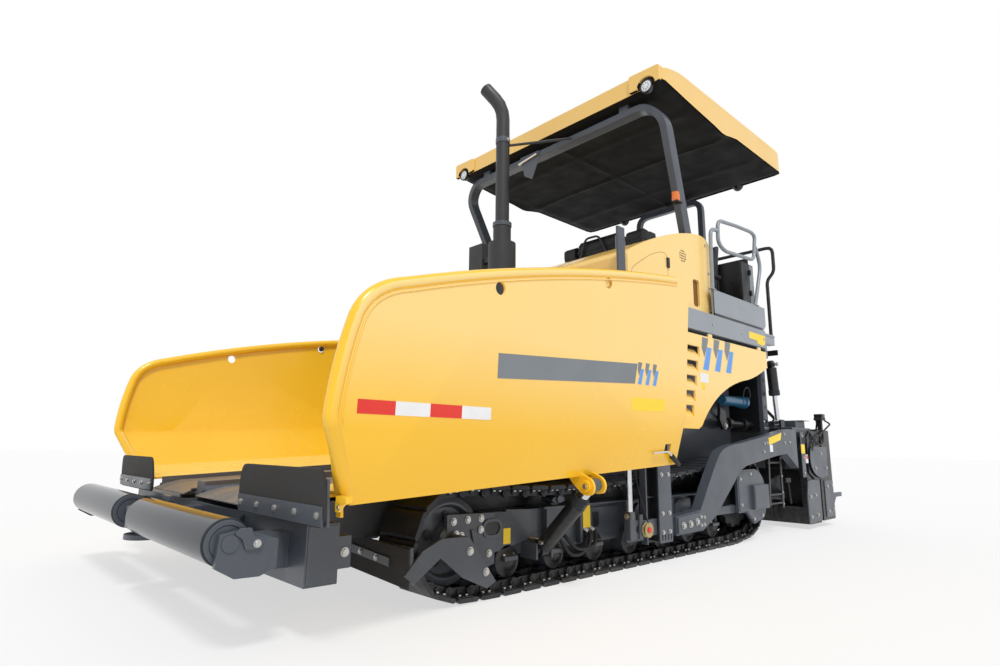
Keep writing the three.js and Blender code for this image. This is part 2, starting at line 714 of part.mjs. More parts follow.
// ---------------------------------------------------------------- augers
/** Closed ribbon that winds round the auger's shaft. */
function augerFlight(hand) {
  const { x, z, radius, shaft, inner, outer, turns } = auger;
  const steps = Math.round(turns * 8);
  const halfThick = 6;
  const length = outer - inner - 40;
  const points = [];
  const faces = [];
  for (let i = 0; i <= steps; i++) {
    const angle = hand * ((2 * Math.PI * turns * i) / steps);
    const y = inner + 20 + (length * i) / steps;
    for (const [r, side] of [[shaft - 6, -1], [radius, -1], [radius, 1], [shaft - 6, 1]]) {
      points.push(x + r * Math.cos(angle), y + side * halfThick, z + r * Math.sin(angle));
    }
  }
  const quad = (a, b, c, d) => faces.push(a, b, c, a, c, d);
  for (let i = 0; i < steps; i++) {
    for (let k = 0; k < 4; k++) {
      const n = (k + 1) % 4;
      quad(4 * i + k, 4 * i + n, 4 * (i + 1) + n, 4 * (i + 1) + k);
    }
  }
  quad(3, 2, 1, 0);
  quad(4 * steps, 4 * steps + 1, 4 * steps + 2, 4 * steps + 3);
  if (hand < 0) faces.reverse();
  const geometry = new THREE.BufferGeometry();
  geometry.setAttribute("position", new THREE.BufferAttribute(new Float32Array(points), 3));
  geometry.setIndex(faces);
  return geometry;
}

function augerScrew() {
  const shaft = discY(auger.x, auger.z, auger.shaft, auger.inner - 12 + TOUCH, auger.outer, 16);
  return join(shaft, augerFlight(1));
}

function augerDrive() {
  return prismY(
    [[frame.rear - PLATE - TOUCH, 400], [frame.rear - PLATE - TOUCH, 690], [-1700, 690], [-1880, 420],
      [-1880, 260], [-1800, 210], [-1730, 250]],
    -50, 50,
  );
}

addPair("auger", augerScrew(), steelGrey);
add("auger_drive", augerDrive(), steelGrey);

// ---------------------------------------------------------------- body
function deckFrame() {
  const { bandZ0, bandZ1, front, bandRear, rear, floor } = deck;
  const side = join(
    box(bandRear, front, BODY_HALF - 30, BODY_HALF, bandZ0, bandZ1),
    box(-745, front, 1025, BODY_HALF - 25, bandZ1 - PLATE, bandZ1),
    box(rear, front, frame.half - 20, frame.half, frame.topZ + TOUCH, floor - 15),
    prismY([[-650, floor - 5], [-650, 2030], [-1640, 2030], [-1640, 1860], [-1560, floor - 5]], 1185, 1205),
    box(-1800, bandRear + 20, 1150, BODY_HALF - 25, bandZ0 + 60, floor - 5),
  );
  return join(
    side,
    mirrored(side),
    box(front - 30, front, -BODY_HALF, BODY_HALF, bandZ0, bandZ1),
    box(-1800, -740, -BODY_HALF + 20, BODY_HALF - 20, floor - 18, floor),
    box(rear, -1790, -1000, 1000, floor - 18, floor),
    box(-1640, -1610, -1200, 1200, frame.topZ + TOUCH, floor - 10),
    box(rear, rear + 30, -1000, 1000, 1700, floor - 5),
  );
}

/** The hood's curve from the front of the engine bay up to the console. */
function hoodCurve(inset) {
  const shape = new THREE.Shape();
  shape.moveTo(hood.front - inset, 1795 + TOUCH - inset * 2);
  shape.lineTo(hood.front - inset, 2080 - inset);
  shape.quadraticCurveTo(hood.front - inset - 10, 2110 - inset, 430, 2140 - inset);
  shape.quadraticCurveTo(-60, 2400 - inset, -480, 2478 - inset);
  shape.quadraticCurveTo(-700, 2520 - inset, hood.rear + inset, 2420 - inset);
  shape.lineTo(hood.rear + inset, 1795 + TOUCH - inset * 2);
  return shape;
}

function hoodShell() {
  return cut(
    prismY(hoodCurve(0), -hood.half, hood.half),
    prismY(hoodCurve(hood.skin), -hood.half + hood.skin, hood.half - hood.skin),
    box(hood.rear - 5, -290, 1020, 1140, 1700, 2600),
    box(hood.rear - 5, -290, -1140, -1020, 1700, 2600),
  );
}

function upperPanel() {
  const slot = box(-530, -430, panel.inner - 5, panel.outer + 5, 1861, 2086);
  return cut(prismY(hoodCurve(0), panel.inner, panel.outer), slot);
}

function sideDoor() {
  const face = new THREE.Shape();
  face.moveTo(door.front, door.bottom);
  face.lineTo(door.front, door.top);
  face.lineTo(-1550, door.top);
  face.lineTo(-1550, 1455);
  face.quadraticCurveTo(-1274, 1330, -1050, 1300);
  face.quadraticCurveTo(-560, 1200, -313, 904);
  face.lineTo(-260, door.bottom);
  const louvres = [1500, 1385, 1270, 1155, 1045].map((z, i) =>
    box(-330 + i * 32, -60, door.inner - 5, door.outer + 5, z - 14, z + 14));
  const knuckles = [-1400, -510, 300].map((x) => join(
    bar([x - 40, door.outer - 8, door.hingeZ], [x + 40, door.outer - 8, door.hingeZ], 7, 12),
    box(x - 40, x + 40, door.outer - 13, door.outer - 3, door.top - 5, door.hingeZ),
  ));
  return join(cut(prismY(face, door.inner, door.outer), ...louvres), ...knuckles);
}

add("deck", deckFrame(), paleGrey);
add("hood", hoodShell(), yellow);
addPair("upper_panel", upperPanel(), yellow);
addPair("side_door", sideDoor(), yellow);

// ---------------------------------------------------------------- operator's station
function console_() {
  return join(
    box(-1000, -780, -420, 420, deck.floor + TOUCH, 2560),
    prismY([[-760, 2540], [-760, 2720], [-980, 2800], [-1080, 2720], [-1080, 2540]], -480, 480),
  );
}

function seat() {
  return join(
    box(-1500, -1180, 560, 700, deck.floor + TOUCH, 2120),
    box(-1530, -1080, 420, 860, 2100, 2230),
    prismY([[-1540, 2200], [-1440, 2200], [-1500, 2720], [-1560, 2720]], 430, 850),
  );
}

function seatBulkhead() {
  return join(
    box(-1600, -1580, -1100, 1100, deck.floor + TOUCH, 2530),
    box(-1640, -1400, 1095, 1120, deck.floor + TOUCH, 2460),
    box(-1640, -1400, -1120, -1095, deck.floor + TOUCH, 2460),
  );
}

add("console", console_(), black);
addPair("seat", seat(), black);
add("seat_bulkhead", seatBulkhead(), black);

function guardRail() {
  const y = 1195;
  const foot = 2030 + TOUCH;
  return join(
    tube(
      [[-661, y, foot], [-661, y, 2515], [-858, y, 2690],
        [-1505, y, 2733], [-1490, y, 2469], [-650, y, 2433]],
      17, 70,
    ),
    tube([[-1560, y, 2600], [-1625, y, 2250], [-1625, y, foot]], 15, 60),
    box(-1575, -1480, y - 12, y + 12, 2580, 2620),
  );
}

function rearRail() {
  const x = -1780;
  return join(
    tube([[x, 1190, deck.floor + TOUCH], [x, 1190, 2330], [x, 1262, 2400], [x, 1262, 2650],
      [x, -1262, 2650], [x, -1262, 2400], [x, -1190, 2330], [x, -1190, deck.floor + TOUCH]], 17, 60),
    bar([x, 500, deck.floor + TOUCH], [x, 500, 2650], 15, 8),
    bar([x, -500, deck.floor + TOUCH], [x, -500, 2650], 15, 8),
  );
}

addPair("guard_rail", guardRail(), black);
add("rear_rail", rearRail(), black);

// ---------------------------------------------------------------- canopy and exhaust
function canopyShell() {
  const { front, rear, half, lip, edge, crown, shell } = canopy;
  const outer = [[-half, lip], [half, lip], [half, edge], [half - 120, edge + 60],
    [0, crown], [120 - half, edge + 60], [-half, edge]];
  const inner = [[-half + shell, lip - 20], [half - shell, lip - 20], [half - shell, edge - 20],
    [half - 140, edge + 60 - shell], [0, crown - shell],
    [140 - half, edge + 60 - shell], [-half + shell, edge - 20]];
  const hollow = cut(prismX(outer, rear, front), prismX(inner, rear + shell, front - shell));
  const underside = (y) => crown - shell * 0.6 - ((crown - edge - 60) * y) / (half - 120);
  const pads = (x, width, y, base) => [-1, 1].map((s) =>
    box(x - width / 2, x + width / 2, s * y - 40, s * y + 40, base + TOUCH, underside(y)));
  const frontPads = pads(arch.x, 80, 500, arch.z + arch.height / 2);
  const rearPads = pads(rearArch.x, 60, 220, rearArch.z + rearArch.size / 2);
  return join(hollow, ...frontPads, ...rearPads);
}

function frontArch() {
  const foot = deck.bandZ1 + TOUCH;
  const leg = [[-600, 1060, foot], [-600, 1060, 2150], [-60, 1180, 3330], [arch.x, 1050, arch.z]];
  const across = new THREE.Vector3(1, 0, 0);
  const route = rounded([...leg, ...leg.map(([x, y, z]) => [x, -y, z]).reverse()], 160, 4, across);
  return sweep(flatSection(arch.height, arch.depth), route);
}

function rearArchFrame() {
  const { x, half, z, size } = rearArch;
  const foot = deck.floor + TOUCH;
  const route = [[x, half, foot], [x, half, z], [x, -half, z], [x, -half, foot]];
  return sweep(flatSection(size, size), rounded(route, 120, 5));
}

function exhaust() {
  const [x, y] = [620, 16];
  return join(
    bar([x, y, 1600 + TOUCH], [x, y, 2400], 115, 24),
    bar([x, y, 2390], [x, y, 2560], 75, 20),
    tube([[x, y, 2500], [x, y, 3640], [x + 90, y - 130, 3840]], 58, 150, 16),
    box(495, 600, -430, -255, 1600 + TOUCH, 2480),
    box(520, 580, -270, -60, 2300, 2340),
    bar([x, y, 3280], [arch.x + 70, 300, arch.z - 10], 12, 8),
  );
}

add("canopy", canopyShell(), tan);
add("front_arch", frontArch(), black);
add("rear_arch", rearArchFrame(), black);
add("exhaust", exhaust(), black);

export default machine;
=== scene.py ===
"""Looks of a tracked asphalt paver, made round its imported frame.

Metres; +X forward, +Y left, +Z up. Each piece is made at its place in the machine's own frame.
"""

import sys
import json
import logging
import math
from collections.abc import Callable, Iterable, Sequence
from dataclasses import dataclass
from enum import Enum

import bmesh
import bpy
from mathutils import Matrix, Vector


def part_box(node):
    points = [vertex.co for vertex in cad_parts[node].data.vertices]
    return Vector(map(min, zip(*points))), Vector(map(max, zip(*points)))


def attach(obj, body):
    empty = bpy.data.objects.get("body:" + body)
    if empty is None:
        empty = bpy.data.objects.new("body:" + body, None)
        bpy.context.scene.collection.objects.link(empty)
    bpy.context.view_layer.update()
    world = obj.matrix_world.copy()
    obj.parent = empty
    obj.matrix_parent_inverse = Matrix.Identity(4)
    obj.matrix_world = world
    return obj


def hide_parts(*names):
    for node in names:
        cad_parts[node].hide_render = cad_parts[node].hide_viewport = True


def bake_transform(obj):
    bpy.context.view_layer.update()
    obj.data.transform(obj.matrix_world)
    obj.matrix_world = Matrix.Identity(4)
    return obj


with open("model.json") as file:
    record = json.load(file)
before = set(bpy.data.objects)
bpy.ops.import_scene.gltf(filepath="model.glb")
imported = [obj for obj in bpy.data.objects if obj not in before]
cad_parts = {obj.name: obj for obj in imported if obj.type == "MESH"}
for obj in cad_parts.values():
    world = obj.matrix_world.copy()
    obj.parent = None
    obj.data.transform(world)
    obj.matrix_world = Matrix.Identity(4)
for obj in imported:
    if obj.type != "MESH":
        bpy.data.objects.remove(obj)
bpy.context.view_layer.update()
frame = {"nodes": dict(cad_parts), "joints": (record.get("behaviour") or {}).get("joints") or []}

LOG = logging.getLogger("paver")
JOINTS = {joint["name"]: joint for joint in frame["joints"]}
Point = Sequence[float]
Pair = tuple[float, float]
Triple = tuple[float, float, float]
Tree = bpy.types.NodeTree
Socket = bpy.types.NodeSocket
FRONT, LEFT, UP = (1, 0, 0), (0, 1, 0), (0, 0, 1)
FILM = 0.0008  # thickness of a stuck-on stroke
LAMP_Z = 3.562  # height of the roof lamps' recesses
SIDES = ("left", "right")


def srgb(red: int, green: int, blue: int) -> Triple:
    """Linear colour of an sRGB colour given in 0 to 255."""
    return tuple(pow(c / 255, 2.2) for c in (red, green, blue))


# -------------------- finishes
@dataclass(frozen=True)
class Finish:
    """A surface finish: its shader values and the grain, drift and dust that vary them."""

    name: str
    slot: str
    color: Triple
    second: Triple | None = None
    metallic: float = 0.0
    roughness: float = 0.4
    spread: float = 0.08
    coat: float = 0.0
    drift: float = 3.0
    share: float = 0.5
    grain: float = 900.0
    height: float = 0.00004
    stretch: Triple = (1.0, 1.0, 1.0)
    dust: float = 0.0
    dust_top: float = 0.6
    sheen: float = 0.0
    specular: float = 0.5
    # Painted highlight: a paler colour blended in towards the top.
    painted_highlight: Triple | None = None
    painted_highlight_from: float = 0.8
    painted_highlight_to: float = 1.22
    painted_highlight_share: float = 0.8
    second_shade: float = 0.86
    coat_roughness: float = 0.08
    dust_color: Triple = srgb(128, 116, 100)
    dust_spots: float = 28.0

    def material(self) -> bpy.types.Material:
        """Makes the material once, and gives it back after that.

        Returns:
            The node material, on Object coordinates.
        """
        known = bpy.data.materials.get(self.name)
        if known:
            return known
        made = bpy.data.materials.new(self.name)
        made.use_nodes = True
        tree = made.node_tree
        shader = tree.nodes["Principled BSDF"]
        shader.inputs["Metallic"].default_value = self.metallic
        shader.inputs["Coat Weight"].default_value = self.coat
        shader.inputs["Coat Roughness"].default_value = self.coat_roughness
        shader.inputs["Sheen Weight"].default_value = self.sheen
        shader.inputs["Specular IOR Level"].default_value = self.specular
        place = tree.nodes.new("ShaderNodeTexCoord").outputs["Object"]
        turned = tree.nodes.new("ShaderNodeMapping")
        turned.inputs["Scale"].default_value = self.stretch
        tree.links.new(place, turned.inputs["Vector"])
        broad = self.noise(tree, turned.outputs[0], self.drift, 5)
        fine = self.noise(tree, turned.outputs[0], self.grain, 3)
        second = self.second or tuple(c * self.second_shade for c in self.color)
        color = self.blend(tree, self.remap(tree, broad, 0.35, 0.75, 0.0, self.share), self.color, second)
        # Painted highlight, paler towards the top.
        if self.painted_highlight:
            color = self.with_painted_highlight(tree, place, color)
        if self.dust:
            color = self.dusted(tree, place, color)
        tree.links.new(color, shader.inputs["Base Color"])
        low = max(0.03, self.roughness - self.spread)
        rough = self.remap(tree, broad, 0.3, 0.7, low, min(1.0, self.roughness + self.spread))
        tree.links.new(rough, shader.inputs["Roughness"])
        bump = tree.nodes.new("ShaderNodeBump")
        bump.inputs["Distance"].default_value = self.height
        tree.links.new(fine, bump.inputs["Height"])
        tree.links.new(bump.outputs[0], shader.inputs["Normal"])
        return made

    @staticmethod
    def noise(tree: Tree, at: Socket, scale: float, detail: int) -> Socket:
        """Noise as a value.

        Args:
            tree: The material's nodes.
            at: Where the noise is read.
            scale: Its scale.
            detail: Its octaves.

        Returns:
            The value's socket.
        """
        node = tree.nodes.new("ShaderNodeTexNoise")
        node.inputs["Scale"].default_value = scale
        node.inputs["Detail"].default_value = detail
        tree.links.new(at, node.inputs["Vector"])
        return node.outputs["Fac"]

    @staticmethod
    def remap(tree: Tree, value: Socket, *ends: float) -> Socket:
        """Moves a value from one range to another.

        Args:
            tree: The material's nodes.
            value: The value.
            ends: The first range's two ends, then the second's.

        Returns:
            The moved value's socket.
        """
        node = tree.nodes.new("ShaderNodeMapRange")
        tree.links.new(value, node.inputs[0])
        for slot, end in enumerate(ends, 1):
            node.inputs[slot].default_value = end
        return node.outputs[0]

    @staticmethod
    def blend(tree: Tree, share: Socket, first: object, second: object) -> Socket:
        """Colour between two colours.

        Args:
            tree: The material's nodes.
            share: The second colour's share.
            first: A constant or a socket.
            second: A constant or a socket.

        Returns:
            The mixed colour's socket.
        """
        node = tree.nodes.new("ShaderNodeMix")
        node.data_type = "RGBA"
        tree.links.new(share, node.inputs["Factor"])
        for socket, color in ((node.inputs[6], first), (node.inputs[7], second)):
            if isinstance(color, Socket):
                tree.links.new(color, socket)
            else:
                socket.default_value = (*color, 1.0)
        return node.outputs[2]

    def with_painted_highlight(self, tree: Tree, place: Socket, color: Socket) -> Socket:
        """Painted highlight: the paint turns paler with height, standing in for the sky's reflection on
        upper faces.

        Args:
            tree: The material's nodes.
            place: The object's coordinates.
            color: The paint's colour.

        Returns:
            The bleached colour's socket.
        """
        split = tree.nodes.new("ShaderNodeSeparateXYZ")
        tree.links.new(place, split.inputs[0])
        share = self.remap(
            tree, split.outputs["Z"], self.painted_highlight_from, self.painted_highlight_to, 0.0, self.painted_highlight_share,
        )
        return self.blend(tree, share, color, self.painted_highlight)

    def dusted(self, tree: Tree, place: Socket, color: Socket) -> Socket:
        """Pale road dust that thins out with height above the ground.

        Args:
            tree: The material's nodes.
            place: The object's coordinates.
            color: The clean colour.

        Returns:
            The dusted colour's socket.
        """
        split = tree.nodes.new("ShaderNodeSeparateXYZ")
        tree.links.new(place, split.inputs[0])
        low = self.remap(tree, split.outputs["Z"], 0.0, self.dust_top, self.dust, 0.0)
        spots = self.remap(tree, self.noise(tree, place, self.dust_spots, 6), 0.42, 0.68, 0.0, 1.0)
        product = tree.nodes.new("ShaderNodeMath")
        product.operation = "MULTIPLY"
        tree.links.new(low, product.inputs[0])
        tree.links.new(spots, product.inputs[1])
        return self.blend(tree, product.outputs[0], color, self.dust_color)


YELLOW = Finish("machine_yellow_enamel", "yellow_paint", srgb(253, 197, 44), srgb(249, 189, 40),
                roughness=0.28, spread=0.03, coat=0.28, drift=1.6, grain=420, height=0.00003)
# Yellow enamel with a painted highlight that grows paler with height, for the sky's reflection.
PAINTED_HIGHLIGHT_YELLOW = Finish("yellow_enamel_painted_highlight", "yellow_paint", srgb(253, 197, 44), srgb(249, 189, 40),
                  roughness=0.28, spread=0.03, coat=0.28, drift=1.6, grain=420, height=0.00003,
                  painted_highlight=srgb(255, 220, 146))
# Pale yellow with streaky scuffs; its paleness is a painted highlight on up-facing faces.
SCUFFED_HIGHLIT_YELLOW = Finish(
    "scuffed_yellow_enamel_painted_highlight", "yellow_paint", srgb(254, 216, 124), srgb(252, 206, 96), roughness=0.26,
    spread=0.08, coat=0.2, drift=3.5, grain=300, height=0.00006, stretch=(0.4, 1, 1),
)
TAN = Finish("ochre_yellow_roof_skin", "canopy_paint", srgb(244, 200, 112), srgb(236, 190, 100),
             roughness=0.32, coat=0.35, drift=1.2, grain=260, height=0.00012)
STEEL = Finish("dark_blue_grey_enamel", "grey_paint", srgb(75, 81, 90), srgb(65, 70, 78),
               roughness=0.4, spread=0.08, coat=0.15, drift=4, grain=520, height=0.0001, dust=0.08)
PALE = Finish("light_grey_enamel", "pale_grey_paint", srgb(143, 150, 158), srgb(132, 139, 147),
              roughness=0.4, coat=0.15, drift=2.5, grain=520, height=0.00008)
BLACK = Finish("black_enamel", "black_paint", srgb(26, 28, 32), srgb(20, 22, 25),
               roughness=0.42, coat=0.1, drift=4, grain=600, height=0.00008, dust=0.15)
# Black lining deepened to near-black as painted shade under the roof; also painted shade in recesses and on
# down-facing faces.
LINING_BLACK_AND_SHADE = Finish("black_roof_lining_painted_shade", "black_paint", srgb(11, 11, 12), srgb(17, 17, 18),
                   roughness=0.85, drift=6, grain=320, height=0.0003)
HEAT = Finish("heat_proof_black", "heat_paint", srgb(44, 45, 48), srgb(56, 56, 58),
              roughness=0.5, spread=0.14, drift=7, grain=700, height=0.00012)
# Oiled steel, set darker than its own colour as painted shade for the low parts under the machine.
TRACK = Finish("oiled_track_steel_with_painted_shade", "track_steel", srgb(44, 47, 52), srgb(60, 62, 67),
               metallic=0.3, roughness=0.45, spread=0.16, drift=14, grain=160, height=0.0005,
               dust=0.22, dust_top=0.35)
WORN = Finish(
    "bare_wear_plate", "worn_steel", srgb(122, 122, 124), srgb(84, 78, 72), metallic=0.7, roughness=0.42,
    spread=0.16, drift=5, grain=120, height=0.0003, stretch=(0.25, 1, 1),
)
ROLLER = Finish(
    "turned_roller_shell", "polished_steel", srgb(54, 58, 64), srgb(46, 49, 55), metallic=0.0,
    roughness=0.13, spread=0.04, coat=0.0, specular=0.14, drift=3, grain=700, height=0.000004,
    stretch=(1.0, 0.2, 1.0),
)
CHROME = Finish("hard_chrome", "chrome_rod", srgb(214, 216, 220), srgb(196, 198, 204),
                metallic=1.0, roughness=0.14, spread=0.04, drift=20, grain=800, height=0.00002)
BOLT = Finish("zinc_plated_bolt", "polished_steel", srgb(196, 196, 194), srgb(160, 158, 150),
              metallic=0.9, roughness=0.32, drift=60, grain=900, height=0.00006)
BRASS = Finish("yellow_zinc", "polished_steel", srgb(186, 168, 120), srgb(150, 134, 92),
               metallic=0.8, roughness=0.35, drift=40, grain=700, height=0.00006)
RUBBER = Finish(
    "conveyor_rubber", "rubber", srgb(43, 42, 42), srgb(62, 59, 56), roughness=0.82, spread=0.1, drift=9,
    share=0.8, grain=520, height=0.0006, stretch=(1, 1, 0.5),
)
HOSE = Finish("hydraulic_hose_rubber", "rubber", srgb(28, 28, 30), srgb(38, 38, 40),
              roughness=0.6, drift=30, grain=1200, height=0.0002)
VINYL = Finish("black_seat_vinyl", "seat_cover", srgb(34, 34, 37), srgb(26, 26, 28),
               roughness=0.55, drift=12, grain=700, height=0.0008, sheen=0.15)
PLASTIC = Finish("ribbed_black_plastic", "console_plastic", srgb(36, 37, 40), srgb(28, 29, 31),
                 roughness=0.6, drift=10, grain=1100, height=0.0003)
RED = Finish("red_reflective_tape", "yellow_paint", srgb(229, 56, 45), srgb(214, 48, 40),
             roughness=0.3, drift=20, grain=1500, height=0.00015)
WHITE = Finish("white_reflective_tape", "yellow_paint", srgb(238, 239, 240), srgb(226, 228, 230),
               roughness=0.3, drift=20, grain=1500, height=0.00015)
STRIPE = Finish("grey_stripe_film", "yellow_paint", srgb(122, 128, 134), srgb(112, 118, 124),
                roughness=0.35, drift=6, grain=700, height=0.00004)
BLUE = Finish("blue_stripe_film", "yellow_paint", srgb(96, 156, 232), srgb(84, 144, 222),
              roughness=0.3, drift=6, grain=700, height=0.00004)
LABEL = Finish("blank_yellow_plate", "yellow_paint", srgb(252, 216, 52), srgb(246, 206, 44),
               roughness=0.4, drift=12, grain=900, height=0.00004)
LENS = Finish("clear_lamp_lens", "polished_steel", srgb(226, 230, 234), srgb(206, 212, 218),
              roughness=0.12, coat=0.8, drift=25, grain=260, height=0.0004)
AMBER = Finish("amber_lamp_lens", "yellow_paint", srgb(236, 120, 24), srgb(222, 104, 18),
               roughness=0.2, coat=0.6, drift=30, grain=260, height=0.0004)
WIRE = Finish("orange_cable_sleeve", "rubber", srgb(196, 104, 34), srgb(172, 88, 28),
              roughness=0.5, drift=40, grain=1500, height=0.0002)
CANISTER = Finish("blue_canister_enamel", "grey_paint", srgb(40, 104, 142), srgb(32, 88, 124),
                  roughness=0.35, coat=0.3, drift=8, grain=600, height=0.00006)
# Dark yellow for the panel's seam joint, and painted shade in the recess behind its slot.
JOINT_AND_SHADE_YELLOW = Finish("dark_yellow_joint_and_painted_shade", "yellow_paint", srgb(122, 80, 10), srgb(100, 66, 8),
              roughness=0.45, drift=6, grain=520, height=0.00006)


# -------------------- outlines
def arc(centre: Point, radius: float, start: float, end: float, steps: int = 8) -> list[Pair]:
    """Points of an arc, angles in degrees, both ends included."""
    turns = [math.radians(start + (end - start) * i / steps) for i in range(steps + 1)]
    return [(centre[0] + radius * math.cos(t), centre[1] + radius * math.sin(t)) for t in turns]


def bow(start: Point, pull: Point, end: Point, steps: int = 10) -> list[Pair]:
    """Points of a quadratic curve.

    Args:
        start: Its first point.
        pull: The point that it bends towards.
        end: Its last point.
        steps: Steps along it.

    Returns:
        The points, both ends included.
    """
    made = []
    for i in range(steps + 1):
        t = i / steps
        weights = ((1 - t) ** 2, 2 * t * (1 - t), t * t)
        made.append(
            tuple(weights[0] * a + weights[1] * b + weights[2] * c for a, b, c in zip(start, pull, end))
        )
    return made


def oblong(x0: float, x1: float, z0: float, z1: float, radius: float = 0.0, steps: int = 4) -> list[Pair]:
    """A rectangle with round corners.

    Args:
        x0: Its first side.
        x1: Its opposite side.
        z0: Its foot.
        z1: Its top.
        radius: Radius of the corners, or 0 for none.
        steps: Steps round each corner.

    Returns:
        The outline's points.
    """
    if radius <= 0:
        return [(x0, z0), (x1, z0), (x1, z1), (x0, z1)]
    r = min(radius, (x1 - x0) / 2 - 1e-5, (z1 - z0) / 2 - 1e-5)
    corners = ((x1 - r, z0 + r, -90), (x1 - r, z1 - r, 0), (x0 + r, z1 - r, 90), (x0 + r, z0 + r, 180))
    return [p for cx, cz, a in corners for p in arc((cx, cz), r, a, a + 90, steps)]


def eased(points: Sequence[Point], bend: float, steps: int = 5, closed: bool = False) -> list[Vector]:
    """A path or outline with its corners rounded.

    Args:
        points: The corner points, in two or three dimensions.
        bend: Length taken off each side of a corner.
        steps: Steps along each rounded corner.
        closed: True for an outline that goes back to its start.

    Returns:
        The points of the rounded path.
    """
    corners = [Vector(p) for p in points]
    count = len(corners)
    made = [] if closed else [corners[0]]
    for i in range(0 if closed else 1, count if closed else count - 1):
        before, here, after = corners[i - 1], corners[i], corners[(i + 1) % count]
        reach = min(bend, (before - here).length * 0.48, (after - here).length * 0.48)
        start = here + (before - here).normalized() * reach
        end = here + (after - here).normalized() * reach
        made += [Vector(p) for p in bow(start, here, end, steps)]
    return made if closed else made + [corners[-1]]


# -------------------- the maker's bench
class Axis(Enum):
    """The way in which a flat outline is thickened."""

    X = "x"
    Y = "y"
    Z = "z"

    def lift(self, point: Point, depth: float) -> Vector:
        """A point of the outline at a depth along this axis."""
        a, b = point
        return Vector({"x": (depth, a, b), "y": (a, depth, b), "z": (a, b, depth)}[self.value])


def toward(direction: Vector) -> Matrix:
    """Rotation that turns +Z to a direction."""
    return direction.to_track_quat("Z", "Y").to_matrix().to_4x4()


